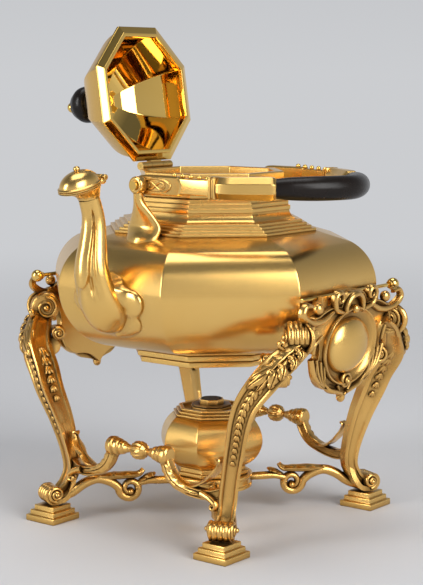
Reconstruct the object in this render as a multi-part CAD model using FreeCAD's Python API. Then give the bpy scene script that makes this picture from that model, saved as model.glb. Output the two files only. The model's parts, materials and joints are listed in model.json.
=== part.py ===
"""An eight-sided tea kettle with a bail handle, on a scroll stand with a spirit lamp.

Millimetres. +X is the way the spout points, +Y the side on which the bail lies down, +Z is up.
The kettle's axis is at x = y = 0, and the feet stand at z = 0. The lid is shown standing open.
"""

import FreeCAD
import Part
import math
import os

V = FreeCAD.Vector

# Octagons: radii are to the corners unless a name says otherwise
SIDES = 8
SHEET = 1.6
# Share of a wall's growth that goes each way where it slants, and of a bar's side that its corners lose
SLANT = 0.7
CORNER_CUT = 0.29
# How far a cutting shape runs past what it cuts
PAST = 1.0

# Clearances
HINGE_CLEARANCE = 0.05
KNUCKLE_GAP = 0.3
SEAT_GAP = 0.1
RUN_GAP = 0.4

# Kettle body, from its foot ring up
KETTLE_FOOT_Z = 98.0
FOOT_RING_HEIGHT = 12.0
FOOT_RING_WALL = 3.9
FOOT_STEP = 1.7
FOOT_STEPS = 4
BASE_RADIUS = 52.0
BELLY_RADIUS = 100.7
BELLY_RISE = 36.0
LOWER_TURN_IN = 13.7
LOWER_TURN_UP = 8.0
UPPER_TURN_IN = 3.3
UPPER_TURN_UP = 12.0
SHOULDER_TURN_IN = 15.2
SHOULDER_TURN_UP = 23.6
SHOULDER_RADIUS = 64.4
SHOULDER_RISE = 29.6
SHOULDER_LIP = 14.4

# Neck mouldings and mouth
RIM_RADIUS = 44.5
RIM_WALL = 4.5
RIM_HEIGHT = 14.6
NECK_LEDGE_OUT = 3.5
NECK_COVE_OUT = 8.5
NECK_LEDGE_HEIGHT = 8.0
NECK_COVE_HEIGHT = 5.6
NECK_STEP_HEIGHT = 6.6
NECK_STEPS = 4
NECK_COVE_BOW = 1.4
NECK_COVE_TURN = 0.4
NECK_FILLETS = 3
NECK_FILLET_PROUD = 0.6

# Spout: places in the plane y = 0, with the half width of its octagon
SPOUT_WALL = 1.3
SPOUT_FACING = V(1, 0, -0.3)
SPOUT_ROOT_Z = 136.0
SPOUT_PATH = [
    (-13.0, 0.0, 11.0),
    (-1.0, 0.0, 13.0),
    (7.5, 8.0, 12.2),
    (12.5, 19.0, 10.8),
    (13.5, 28.0, 9.6),
    (12.4, 37.5, 8.3),
    (11.4, 47.0, 7.2),
    (12.0, 55.0, 6.5),
    (15.0, 64.0, 6.2),
]
SPOUT_PLATE = 1.4
SPOUT_LOBES = [(0.0, 0.0, 17.0), (15.0, -5.0, 8.5), (13.0, 9.0, 7.5)]

# Spout mouth and its flap, in the plane of the mouth
MOUTH_FORWARD = 7.0
MOUTH_RISE = 6.0
MOUTH_TILT = 14.5
MOUTH_HALF_LENGTH = 14.0
MOUTH_HALF_WIDTH = 10.2
MOUTH_WALL = 1.2
MOUTH_LIP = 0.5
MOUTH_WAIST_SHARE = 0.45
MOUTH_WAIST_DROP = 0.6
MOUTH_WAIST_LENGTH = 1.22
MOUTH_WAIST_WIDTH = 1.12
CAP_RIM = 1.6
CAP_LEDGE = 1.0
CAP_DOME = 7.8
CAP_SHEET = 1.0
CAP_INSIDE_LEDGE = 2.2
CAP_KNOB_RADIUS = 1.8
CAP_KNOB_RISE = 1.9
CAP_STEM_RADIUS = 1.21
CAP_STEM_SINK = 0.6
CAP_HINGE_RISE = 1.02
CAP_WEB_DROP = 0.85
CAP_WEB_REACH = 2.5
CAP_EAR_REACH = 3.0
CAP_KNUCKLE_RADIUS = 1.7
CAP_PIN_RADIUS = 0.7
CAP_KNUCKLE_LENGTH = 5.0

# Lid, drawn shut, then opened about its hinge
LID_ANGLE = 98.6
LID_FLANGE_WIDTH = 6.9
LID_FLANGE_HEIGHT = 5.0
LID_FLANGE_STEP = 1.6
LID_DOME_SETBACK = 3.1
LID_TURN_RADIUS = 32.0
LID_TURN_RISE = 19.0
LID_TOP_RADIUS = 11.0
LID_TOP_RISE = 31.8
LID_BOW_IN = 3.0
LID_BOW_RISE = 9.5
LID_BOW_GROWTH = 0.4
LID_CROWN_OUT = 1.5
LID_CROWN_UP = 1.2
LID_STEP_RISE = 3.0
LID_HINGE_OUT = 3.1
LID_HINGE_UP = 1.2
LID_KNUCKLE_RADIUS = 2.5
LID_PIN_RADIUS = 1.0
LID_HINGE_LENGTH = 28.0
LID_KNUCKLE_LENGTH = 10.0
HINGE_LEAF = 1.4
HINGE_LEAF_HEIGHT = 7.0

# Finial of the lid: its outlines are in shares of radius and height
FINIAL_COLLAR_RADIUS = 9.0
FINIAL_COLLAR_HEIGHT = 3.4
FINIAL_COLLAR_OUTLINE = [(1.0, 0.0), (1.0, 0.4), ((0.78, 0.55), (0.72, 1.0))]
KNOP_RADIUS = 11.5
KNOP_HEIGHT = 20.5
KNOP_OUTLINE = [
    (0.62, 0.0),
    ((0.6, 0.16), (0.82, 0.3)),
    ((1.0, 0.5), (0.86, 0.75)),
    ((0.66, 0.92), (0.296, 1.0)),
]
TIP_RADIUS = 3.4
TIP_RISE = 3.3
TIP_SEAT_RADIUS = 2.7
TIP_SEAT_HEIGHT = 1.7
FINIAL_SCREW_PROUD = 1.0
FINIAL_SCREW_RADIUS = 1.5
FINIAL_NUT_RADIUS = 4.0
FINIAL_NUT_HEIGHT = 2.5

# Bail handle, drawn lying down from its pivots
PIVOT_BELOW_RIM = 5.6
PIVOT_OUT = 7.5
PIVOT_PIN_RADIUS = 1.6
PIVOT_HEAD_RADIUS = 2.7
PIVOT_HEAD_LENGTH = 1.6
LUG_THICKNESS = 6.0
LUG_EYE_RADIUS = 5.0
LUG_WAIST = 7.0
LUG_WAIST_DROP = 3.2
# Places out from the shoulder's edge and up from it, then width and depth
LUG_PATH = [
    (6.6, -6.0, 18.0, 10.0),
    (2.8, 0.0, 23.0, 8.6),
    (1.6, 5.4, 24.0, 7.4),
    (3.9, 13.0, 14.0, 6.4),
    (6.9, 19.4, 7.4, 6.0),
]
ARM_EYE_RADIUS = 5.6
ARM_THICKNESS = 6.4
BAIL_LIFT = -0.4
# Places from the pivot, then height and depth
BAIL_BLOCK = [(0.0, 6.0, 11.2, 6.4), (-0.4, 28.4, 11.2, 6.4)]
BAIL_ARM = [(-0.4, 27.4, 9.4, 5.8), (-3.2, 46.4, 9.4, 5.8), (-5.0, 51.2, 9.4, 5.8)]
BAIL_COLLAR = [(-3.0, 45.6, 13.0, 9.5), (-4.1, 49.1, 13.0, 9.5)]
BAIL_SOCKET = [(-4.4, 49.6, 12.4, 11.0), (-12.5, 63.0, 12.8, 11.8), (-22.5, 75.0, 13.0, 12.4)]
GRIP_PATH = [(-29.5, 82.6, 6.6), (-42.0, 92.4, 6.9)]
GRIP_APEX = 99.0
GRIP_RADIUS = 6.2
GRIP_APEX_RADIUS = 6.9
TENON_RADIUS = 3.6
TENON_LENGTH = 9.0
MORTISE_SLACK = 0.3
GRIP_PIN_RADIUS = 0.9
GRIP_PIN_INSET = 4.5
GRIP_PIN_SINK = 0.4

# Locking pins and the eyes and cradles that they pass through
PIN_RADIUS = 1.2
PIN_DROP = 2.0
PIN_LENGTH = 90.0
PIN_FAR_END = 42.0
PIN_BALL_RADIUS = 3.75
PIN_BALL_OUT = 3.375
EYE_WALL = 1.2
EYE_LENGTH = 14.0
EYE_STANDOFF = 0.8
CRADLE_WALL = 1.0
CRADLE_LENGTH = 4.5
CRADLE_GAP = 1.0
CRADLE_DEPTH = 9.0

# Feet and legs
FOOT_X = 72.7
FOOT_Y = 65.0
PLINTH_SIDE = 22.8
PLINTH_HEIGHT = 9.6
PLINTH_STEPS = 3
PLINTH_STEP = 1.8
FOOT_SCROLL_RADIUS = 7.0
FOOT_SCROLL_SINK = 0.5
FOOT_SCROLL_WIDTH = 12.5
KNEE_SCROLL_RADIUS = 6.2
KNEE_SCROLL_WIDTH = 12.0
KNEE_SCROLL_PLACE = 1
KNEE_SCROLL_DROP = 10.5
HEAD_SCROLL_RADIUS = 8.6
HEAD_SCROLL_WIDTH = 12.5
HEAD_SCROLL_X = 44.6
HEAD_SCROLL_BEHIND = 3.5
HEAD_SCROLL_DROP = 20.0
# Places from the plinth's centre, then the leg's width and its depth outwards
LEG_PATH = [
    (-3.2, -1.5, 6.0, 10.0, 7.0),
    (-9.2, -3.5, 12.0, 10.5, 7.0),
    (-12.7, -4.7, 20.4, 11.0, 8.0),
    (-12.7, -2.7, 33.4, 12.0, 9.5),
    (-11.0, 2.2, 51.4, 14.0, 13.0),
    (-8.1, 8.2, 68.4, 15.5, 15.6),
    (-8.4, 12.9, 79.4, 16.5, 16.6),
]
# Places from the pin's height at the back of the cartouche, then width and depth
KNEE_PATH = [
    (61.0, -12.5, -42.0, 17.0, 15.5),
    (52.7, -6.5, -32.0, 15.0, 12.5),
    (43.0, -0.5, -23.5, 11.0, 9.5),
    (34.0, 2.2, -18.5, 7.0, 6.5),
]

# Cartouches, drawn upright about the pin's height and then leaned outwards
CARTOUCHE_THICKNESS = 3.0
CARTOUCHE_LEAN = 7.4
CARTOUCHE_GAP = 0.9
CARTOUCHE_TOP = 2.5
CARTOUCHE_DROP = 61.0
# Right half of the outline, down from the crest: each arc's middle and end
CARTOUCHE_OUTLINE = [
    ((8.0, 1.5), (13.0, -5.5)),
    ((24.0, -5.0), (35.0, -8.5)),
    ((41.0, -13.5), (36.0, -18.5)),
    ((31.0, -27.0), (32.0, -36.0)),
    ((29.0, -47.0), (17.0, -53.0)),
    ((8.0, -55.0), (0.0, -CARTOUCHE_DROP)),
]
CARTOUCHE_VOLUTES = [(36.0, -13.5, 5.6), (9.0, -3.5, 5.0), (27.5, -44.0, 5.0)]
VOLUTE_PROUD = 3.0
BOSS_HALF_WIDTH = 19.5
BOSS_HALF_HEIGHT = 16.5
BOSS_PROUD = 7.5
BOSS_BELOW_PIN = 29.5
BOSS_FRAME = 3.0
BOSS_FRAME_PROUD = 3.0

# Stretchers between the legs at the spout side and at the back
STRETCHER_X = 67.0
STRETCHER_Z = 51.0
BALUSTER_HALF_LENGTH = 20.0
BALUSTER_BALL = 5.0
BALUSTER_BALL_HALF = 4.75
BALUSTER_KNOP = 3.6
BALUSTER_KNOP_AT = 10.0
BALUSTER_KNOP_HALF = 3.0
BALUSTER_NECK = 2.1
BALUSTER_SWELL = 2.625
BALUSTER_SWELL_AT = 16.0
STRETCHER_THICKNESS = 5.6
# Places from the baluster's end, outwards and up, then the bar's height
STRETCHER_PATH = [
    (-4.0, 0.8, 6.0),
    (0.4, -0.4, 6.4),
    (3.2, -5.5, 6.0),
    (6.6, -9.8, 5.8),
    (12.0, -13.4, 5.8),
    (18.0, -16.0, 5.8),
    (25.0, -18.0, 6.0),
    (32.0, -18.4, 6.2),
    (37.0, -17.0, 6.4),
    (40.0, -15.4, 6.4),
]

# Lamp ring and the four arms that carry it, drawn from the axis outwards
LAMP_RING_RADIUS = 25.0
LAMP_RING_BORE = 19.0
LAMP_RING_Z = 17.5
LAMP_RING_HEIGHT = 8.0
ARM_WIDTH = 6.0
ARM_LOOP_R = 50.5
ARM_LOOP_Z = 15.5
ARM_LOOP_RADIUS = 6.2
ARM_LOOP_WIRE = 2.3
# Places out from the axis and up, then the bar's height
ARM_OUTER = [
    (95.0, 12.5, 5.0),
    (86.0, 16.0, 5.2),
    (78.0, 21.5, 5.4),
    (68.0, 24.6, 5.4),
    (60.0, 22.6, 5.0),
    (55.5, 19.0, 4.2),
]
ARM_INNER = [(45.8, 19.2, 4.2), (39.0, 21.6, 4.6), (31.0, 21.6, 4.8), (21.0, 21.4, 5.0)]
ARM_LEAF = [(66.0, 24.6, 4.6), (54.0, 26.6, 3.8), (43.0, 28.4, 2.4)]

# Spirit lamp
LAMP_SPIGOT_DEPTH = 5.5
LAMP_FOOT_RADIUS = 23.0
LAMP_FOOT_HEIGHT = 5.4
LAMP_FOOT_STEP = 1.6
LAMP_BASE_RADIUS = 21.4
LAMP_RADIUS = 32.2
LAMP_LOWER_TURN_IN = 3.4
LAMP_LOWER_TURN_UP = 5.8
LAMP_BELLY_RISE = 14.0
LAMP_UPPER_TURN_IN = 1.8
LAMP_UPPER_TURN_UP = 9.5
LAMP_TOP_RADIUS = 24.3
LAMP_TOP_RISE = 16.9
COLLAR_HEIGHT = 5.0
COLLAR_STEP = 4.0
BURNER_RADIUS = 10.5
BURNER_DEPTH = 9.0
BURNER_FLANGE = 12.5
BURNER_FLANGE_HEIGHT = 1.5
NOZZLE_RADIUS = 5.0
NOZZLE_HEIGHT = 3.5
NOZZLE_FOOT_RADIUS = 7.5
NOZZLE_COVE_RADIUS = 5.5
NOZZLE_COVE_RISE = 1.05
WICK_RADIUS = 3.0
WICK_LENGTH = 24.0
WICK_PROUD = 1.5

# Heights and places worked out from the sizes above
FOOT_RING_BORE = BASE_RADIUS - (FOOT_STEPS - 1) * FOOT_STEP - FOOT_RING_WALL
SHOULDER_OPENING = SHOULDER_RADIUS - SHOULDER_LIP
RIM_BORE = RIM_RADIUS - RIM_WALL
NECK_LEDGE_RADIUS = RIM_RADIUS + NECK_LEDGE_OUT
NECK_COVE_RADIUS = RIM_RADIUS + NECK_COVE_OUT
LID_FLANGE_BORE = RIM_RADIUS - LID_FLANGE_WIDTH
LID_DOME_RADIUS = RIM_RADIUS - LID_DOME_SETBACK
BASE_Z = KETTLE_FOOT_Z + FOOT_RING_HEIGHT
BELLY_Z = BASE_Z + BELLY_RISE
SHOULDER_Z = BELLY_Z + SHOULDER_RISE
NECK_HEIGHT = NECK_STEP_HEIGHT + NECK_COVE_HEIGHT + NECK_LEDGE_HEIGHT
RIM_BOTTOM_Z = SHOULDER_Z + NECK_HEIGHT
RIM_TOP_Z = RIM_BOTTOM_Z + RIM_HEIGHT
TO_SIDE = math.cos(math.pi / SIDES)
BELLY_SIDE = BELLY_RADIUS * TO_SIDE
RIM_SIDE = RIM_RADIUS * TO_SIDE
PIVOT_X = SHOULDER_RADIUS * TO_SIDE + PIVOT_OUT
PIVOT_Z = RIM_TOP_Z - PIVOT_BELOW_RIM
PIN_Z = BELLY_Z - PIN_DROP
EYE_RADIUS = PIN_RADIUS + EYE_WALL
PIN_Y = BELLY_SIDE + EYE_STANDOFF + EYE_RADIUS
CARTOUCHE_Y = PIN_Y + EYE_RADIUS + CARTOUCHE_GAP
LID_Z = RIM_TOP_Z + KNUCKLE_GAP
LID_HINGE_Y = -(RIM_SIDE + LID_HINGE_OUT)
LID_HINGE_Z = RIM_TOP_Z + LID_HINGE_UP
LAMP_SEAT_Z = LAMP_RING_Z + LAMP_RING_HEIGHT
LAMP_BASE_Z = LAMP_SEAT_Z + SEAT_GAP + LAMP_FOOT_HEIGHT
LAMP_TOP_Z = LAMP_BASE_Z + LAMP_BELLY_RISE + LAMP_TOP_RISE
COLLAR_TOP_Z = LAMP_TOP_Z + COLLAR_HEIGHT
LEG_ANGLE = math.degrees(math.atan2(FOOT_Y, FOOT_X))

X_AXIS = V(1, 0, 0)
Y_AXIS = V(0, 1, 0)
Z_AXIS = V(0, 0, 1)


def section(points):
    """A face in the XZ plane, closed to its first point. A pair of points is an arc's middle and end."""
    edges = []
    first = V(points[0][0], 0, points[0][1])
    start = first
    for step in points[1:]:
        if isinstance(step[0], tuple):
            middle, end = (V(x, 0, z) for x, z in step)
            edges.append(Part.Arc(start, middle, end).toShape())
        else:
            end = V(step[0], 0, step[1])
            edges.append(Part.makeLine(start, end))
        start = end
    if not start.isEqual(first, HINGE_CLEARANCE):
        edges.append(Part.makeLine(start, first))
    return Part.Face(Part.Wire(edges))


def from_shares(outline, radius, low, height):
    """An outline given in shares of a radius and a height, as places."""
    places = []
    for point in outline:
        if isinstance(point[0], tuple):
            places.append(tuple(from_shares(point, radius, low, height)))
        else:
            places.append((point[0] * radius, low + point[1] * height))
    return places


def to_side(point):
    """A point of a corner outline, moved to the middle of the octagon's side."""
    if isinstance(point[0], tuple):
        return tuple(to_side(p) for p in point)
    return (point[0] * TO_SIDE, point[1])


def octagonal(points):
    """A solid with eight sides from an outline of corner radius and height."""
    face = section([to_side(p) for p in points])
    box = face.BoundBox
    reach = 2 * box.XMax
    slab = face.extrude(V(0, 2 * reach, 0))
    slab.translate(V(0, -reach, 0))
    half = reach * math.tan(math.pi / SIDES)
    low = box.ZMin - 1
    corners = [V(0, 0, low), V(reach, -half, low), V(reach, half, low), V(0, 0, low)]
    wedge = Part.Face(Part.makePolygon(corners)).extrude(V(0, 0, box.ZLength + 2))
    side = slab.common(wedge)
    sides = []
    for number in range(SIDES):
        turned_side = side.copy()
        turned_side.rotate(V(0, 0, 0), Z_AXIS, number * 360 / SIDES)
        sides.append(turned_side)
    return one_solid(sides[0].fuse(sides[1:]).removeSplitter())


def turned(points):
    """A round solid from an outline of radius and height."""
    return one_solid(section(points).revolve(V(0, 0, 0), Z_AXIS, 360))


def one_solid(shape):
    """The largest solid of a shape."""
    return max(shape.Solids, key=lambda solid: solid.Volume)


def rod(start, axis, radius, length):
    """A cylinder from its start along an axis."""
    return Part.makeCylinder(radius, length, start, axis)


def block(low, high):
    """A box between two corners."""
    return Part.makeBox(high.x - low.x, high.y - low.y, high.z - low.z, low)


def directions(points, first=None, last=None):
    """The way a path runs at each of its points."""
    found = []
    for number in range(len(points)):
        before = points[max(number - 1, 0)]
        after = points[min(number + 1, len(points) - 1)]
        way = after - before
        found.append(way.normalize())
    if first:
        found[0] = first
    if last:
        found[-1] = last
    return found


def eight_sided(centre, way, outward, width, depth):
    """A rectangle with its corners cut, square to a path."""
    out = outward - way * outward.dot(way)
    out.normalize()
    side = way.cross(out)
    cut = CORNER_CUT * min(width, depth)
    across = [width / 2, width / 2 - cut]
    deep = [depth / 2 - cut, depth / 2]
    corners = []
    for side_sign, out_sign, order in ((1, 1, (0, 1)), (-1, 1, (1, 0)), (-1, -1, (0, 1)), (1, -1, (1, 0))):
        for which in order:
            corners.append(centre + side * (side_sign * across[which]) + out * (out_sign * deep[which]))
    return Part.makePolygon(corners + corners[:1])


def bar(points, sizes, outward, first=None, last=None):
    """A bar of changing width and depth along a path."""
    ways = directions(points, first, last)
    wires = [
        eight_sided(point, way, outward, width, depth)
        for point, way, (width, depth) in zip(points, ways, sizes)
    ]
    return one_solid(Part.makeLoft(wires, True, False))


def ellipse_wire(centre, normal, along, half_length, half_width):
    """An oval, with its long axis given."""
    across = normal.cross(along)
    if half_length > half_width:
        curve = Part.Ellipse(centre + along * half_length, centre + across * half_width, centre)
    else:
        curve = Part.Circle(centre, normal, half_width)
    return Part.Wire(curve.toShape())


def oval_dome(half_x, half_y, height):
    """Half of an egg shape on the plane z = 0."""
    ball = Part.makeSphere(1.0, V(0, 0, 0), Z_AXIS, 0, 90, 360)
    scale = FreeCAD.Matrix()
    scale.scale(half_x, half_y, height)
    return one_solid(ball.transformGeometry(scale))


def mirrored(shape, axis):
    """A shape reflected through the plane across an axis at the origin."""
    return shape.mirror(V(0, 0, 0), axis)


def body_outline(grow):
    """The kettle's outline, made larger all round by grow, closed on its axis."""
    slant = grow * SLANT
    return [
        (0, BASE_Z - grow),
        (BASE_RADIUS + slant, BASE_Z - grow),
        (
            (BELLY_RADIUS - LOWER_TURN_IN + slant, BASE_Z + LOWER_TURN_UP - slant),
            (BELLY_RADIUS + grow, BELLY_Z),
        ),
        (
            (BELLY_RADIUS - UPPER_TURN_IN + grow, BELLY_Z + UPPER_TURN_UP),
            (BELLY_RADIUS - SHOULDER_TURN_IN + slant, BELLY_Z + SHOULDER_TURN_UP + slant),
        ),
        (SHOULDER_RADIUS, SHOULDER_Z + grow),
        (0, SHOULDER_Z + grow),
    ]


def spout_solid(inset):
    """The faceted spout as a full bar, made thinner all round by inset."""
    points = []
    sizes = []
    for out, up, half in SPOUT_PATH:
        points.append(V(BELLY_SIDE + out, 0, SPOUT_ROOT_Z + up))
        sizes.append((2 * (half - inset), 2 * (half - inset)))
    way = directions(points)[-1]
    if inset:
        points[-1] = points[-1] + way * PAST
        points[0] = points[0] - X_AXIS * PAST
    return bar(points, sizes, SPOUT_FACING, X_AXIS, way)


def neck_outline():
    """Steps up from the shoulder, a cove, and fillets up to the rim."""
    points = [(SHOULDER_OPENING - SHEET, SHOULDER_Z)]
    radius = SHOULDER_RADIUS
    height = SHOULDER_Z
    for _ in range(NECK_STEPS):
        points.append((radius, height))
        height += NECK_STEP_HEIGHT / NECK_STEPS
        points.append((radius, height))
        radius -= (SHOULDER_RADIUS - NECK_COVE_RADIUS) / NECK_STEPS
    ledge_z = height + NECK_COVE_HEIGHT
    cove_middle = (NECK_LEDGE_RADIUS + NECK_COVE_BOW, height + NECK_COVE_HEIGHT * NECK_COVE_TURN)
    points += [(NECK_COVE_RADIUS, height), (cove_middle, (NECK_LEDGE_RADIUS, ledge_z))]
    fillet_height = NECK_LEDGE_HEIGHT / NECK_FILLETS
    fillet_step = (NECK_LEDGE_RADIUS - RIM_RADIUS) / NECK_FILLETS
    for number in range(NECK_FILLETS):
        radius = NECK_LEDGE_RADIUS + NECK_FILLET_PROUD - number * fillet_step
        points.append((radius, ledge_z + number * fillet_height))
        points.append((radius, ledge_z + (number + 1) * fillet_height))
    return points + [(RIM_BORE, RIM_BOTTOM_Z)]


def foot_outline():
    """Steps down from the kettle's base to its foot ring."""
    points = [(FOOT_RING_BORE, BASE_Z)]
    step_height = FOOT_RING_HEIGHT / FOOT_STEPS
    for number in range(FOOT_STEPS):
        radius = BASE_RADIUS - number * FOOT_STEP
        points.append((radius, BASE_Z - number * step_height))
        points.append((radius, BASE_Z - (number + 1) * step_height))
    return points + [(FOOT_RING_BORE, KETTLE_FOOT_Z)]


def spout_plate(filled, full_spout):
    """The lobed plate round the spout's root, laid on the body."""
    skin = octagonal(body_outline(SPOUT_PLATE)).cut(filled)
    lobes = []
    for across, up, size in SPOUT_LOBES:
        for sign in (1, -1) if across else (1,):
            start = V(BELLY_SIDE / 2, sign * across, SPOUT_ROOT_Z + up)
            lobes.append(rod(start, X_AXIS, size, BELLY_SIDE))
    return one_solid(skin.common(lobes[0].fuse(lobes[1:])).cut(full_spout))


def kettle_parts():
    """The vessel with its rings, spout, lugs and eyes."""
    filled = octagonal(body_outline(0))
    full_spout = spout_solid(0)
    bore = spout_solid(SPOUT_WALL)
    opening = octagonal([
        (0, SHOULDER_Z - 2 * SHEET),
        (SHOULDER_OPENING, SHOULDER_Z - 2 * SHEET),
        (SHOULDER_OPENING, SHOULDER_Z + PAST),
        (0, SHOULDER_Z + PAST),
    ])
    hollow = octagonal(body_outline(-SHEET))
    neck = octagonal(neck_outline())
    rim = octagonal([
        (RIM_BORE, RIM_BOTTOM_Z),
        (RIM_RADIUS, RIM_BOTTOM_Z),
        (RIM_RADIUS, RIM_TOP_Z),
        (RIM_BORE, RIM_TOP_Z),
    ])
    return {
        "kettle_body": one_solid(filled.cut(hollow).cut(opening).cut(bore)),
        "neck_mouldings": neck,
        "mouth_rim": rim,
        "kettle_foot": octagonal(foot_outline()),
        "spout": one_solid(full_spout.cut(bore).cut(filled)),
        "spout_base": spout_plate(filled, full_spout),
        "handle_lug_front": handle_lug(filled.fuse(neck)),
        "pin_eye_right": pin_eye(filled),
    }


def handle_lug(base):
    """A leaf-shaped bracket on the shoulder with an eye for the bail's pivot."""
    edge = SHOULDER_RADIUS * TO_SIDE
    points = [V(edge + out, 0, SHOULDER_Z + up) for out, up, _, _ in LUG_PATH]
    points.append(V(PIVOT_X, 0, PIVOT_Z - LUG_WAIST_DROP))
    sizes = [(width, depth) for _, _, width, depth in LUG_PATH]
    sizes.append((LUG_WAIST, LUG_THICKNESS))
    lug = bar(points, sizes, X_AXIS, Z_AXIS, Z_AXIS)
    start = V(PIVOT_X - LUG_THICKNESS / 2, 0, PIVOT_Z)
    eye = rod(start, X_AXIS, LUG_EYE_RADIUS, LUG_THICKNESS)
    hole = rod(start - X_AXIS * PAST, X_AXIS, PIVOT_PIN_RADIUS, LUG_THICKNESS + 2 * PAST)
    return one_solid(lug.fuse(eye).cut(hole).cut(base))


def pin_eye(filled):
    """A tube on the belly that a locking pin passes through."""
    start = V(-EYE_LENGTH / 2, PIN_Y, PIN_Z)
    tube = rod(start, X_AXIS, EYE_RADIUS, EYE_LENGTH)
    stem = block(
        V(-EYE_LENGTH / 2, BELLY_SIDE - EYE_RADIUS, PIN_Z - EYE_RADIUS),
        V(EYE_LENGTH / 2, PIN_Y, PIN_Z + EYE_RADIUS),
    )
    hole = rod(start - X_AXIS * PAST, X_AXIS, PIN_RADIUS + HINGE_CLEARANCE, EYE_LENGTH + 2 * PAST)
    return one_solid(tube.fuse(stem).cut(filled).cut(hole))


def mouth_parts():
    """The flared mouth of the spout, and the flap that shuts it."""
    points = [V(BELLY_SIDE + out, 0, SPOUT_ROOT_Z + up) for out, up, _ in SPOUT_PATH]
    end = points[-1]
    way = directions(points)[-1]
    end_radius = SPOUT_PATH[-1][2]
    tilt = FreeCAD.Rotation(Y_AXIS, MOUTH_TILT)
    along = tilt.multVec(X_AXIS)
    up = tilt.multVec(Z_AXIS)
    centre = end + V(MOUTH_FORWARD, 0, MOUTH_RISE)
    middle = end + (centre - end) * MOUTH_WAIST_SHARE - up * MOUTH_WAIST_DROP

    def flare(inset, stretch):
        radius = end_radius - inset
        half_length = MOUTH_HALF_LENGTH - inset
        half_width = MOUTH_HALF_WIDTH - inset
        wires = [
            ellipse_wire(end - way * stretch, way, way.cross(Y_AXIS) * -1, radius, radius),
            ellipse_wire(middle, up, along, radius * MOUTH_WAIST_LENGTH, radius * MOUTH_WAIST_WIDTH),
            ellipse_wire(centre + up * stretch, up, along, half_length, half_width),
        ]
        return one_solid(Part.makeLoft(wires, True, False))

    place = FreeCAD.Placement(centre, tilt)
    hinge_x = -(MOUTH_HALF_LENGTH + CAP_KNUCKLE_RADIUS + RUN_GAP)
    hinge = V(hinge_x, 0, CAP_HINGE_RISE)
    half = CAP_KNUCKLE_LENGTH / 2
    hole_half = 2 * CAP_KNUCKLE_LENGTH
    pin_hole = rod(hinge - Y_AXIS * hole_half, Y_AXIS, CAP_PIN_RADIUS + HINGE_CLEARANCE, 2 * hole_half)

    def knuckle(low, length):
        return rod(hinge + Y_AXIS * low, Y_AXIS, CAP_KNUCKLE_RADIUS, length)

    outer = []
    for low in (half + KNUCKLE_GAP, -half - KNUCKLE_GAP - CAP_KNUCKLE_LENGTH / 2):
        ear = block(
            V(hinge_x, low, -2 * CAP_KNUCKLE_RADIUS),
            V(hinge_x + CAP_KNUCKLE_RADIUS + CAP_EAR_REACH, low + CAP_KNUCKLE_LENGTH / 2, 0),
        )
        outer += [knuckle(low, CAP_KNUCKLE_LENGTH / 2), ear]
    ears = outer[0].fuse(outer[1:]).cut(pin_hole)
    ears.Placement = place
    bore = flare(MOUTH_WALL, MOUTH_LIP)
    mouth = one_solid(flare(0, 0).fuse(ears).cut(bore))

    seat = V(0, 0, SEAT_GAP)
    rim_wire = ellipse_wire(seat, Z_AXIS, X_AXIS, MOUTH_HALF_LENGTH, MOUTH_HALF_WIDTH)
    rim = Part.Face(rim_wire).extrude(V(0, 0, CAP_RIM))
    dome = oval_dome(MOUTH_HALF_LENGTH - CAP_LEDGE, MOUTH_HALF_WIDTH - CAP_LEDGE, CAP_DOME)
    dome.translate(V(0, 0, CAP_RIM + SEAT_GAP))
    inside_half = (MOUTH_HALF_LENGTH - CAP_INSIDE_LEDGE, MOUTH_HALF_WIDTH - CAP_INSIDE_LEDGE)
    inside = oval_dome(*inside_half, CAP_DOME + CAP_RIM - CAP_SHEET)
    inside.translate(V(0, 0, SEAT_GAP))
    web = block(
        V(hinge_x, -half, CAP_HINGE_RISE - CAP_WEB_DROP),
        V(-MOUTH_HALF_LENGTH + CAP_WEB_REACH, half, SEAT_GAP + CAP_RIM),
    )
    cap = one_solid(rim.fuse([dome, web, knuckle(-half, 2 * half)]).cut(inside).cut(pin_hole))
    top = SEAT_GAP + CAP_RIM + CAP_DOME
    ball_z = top + CAP_KNOB_RISE
    stem_low = top - CAP_STEM_SINK
    stem = rod(V(0, 0, stem_low), Z_AXIS, CAP_STEM_RADIUS, ball_z - stem_low)
    knob = one_solid(stem.fuse(Part.makeSphere(CAP_KNOB_RADIUS, V(0, 0, ball_z))))
    cap = one_solid(cap.cut(knob))
    pin_half = CAP_KNUCKLE_LENGTH + KNUCKLE_GAP
    pin = rod(hinge - Y_AXIS * pin_half, Y_AXIS, CAP_PIN_RADIUS, 2 * pin_half)
    for shape in (cap, knob, pin):
        shape.Placement = place.multiply(shape.Placement)
    return {"spout_mouth": mouth, "spout_cap": cap, "spout_cap_knob": knob, "spout_cap_pin": pin}


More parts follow.
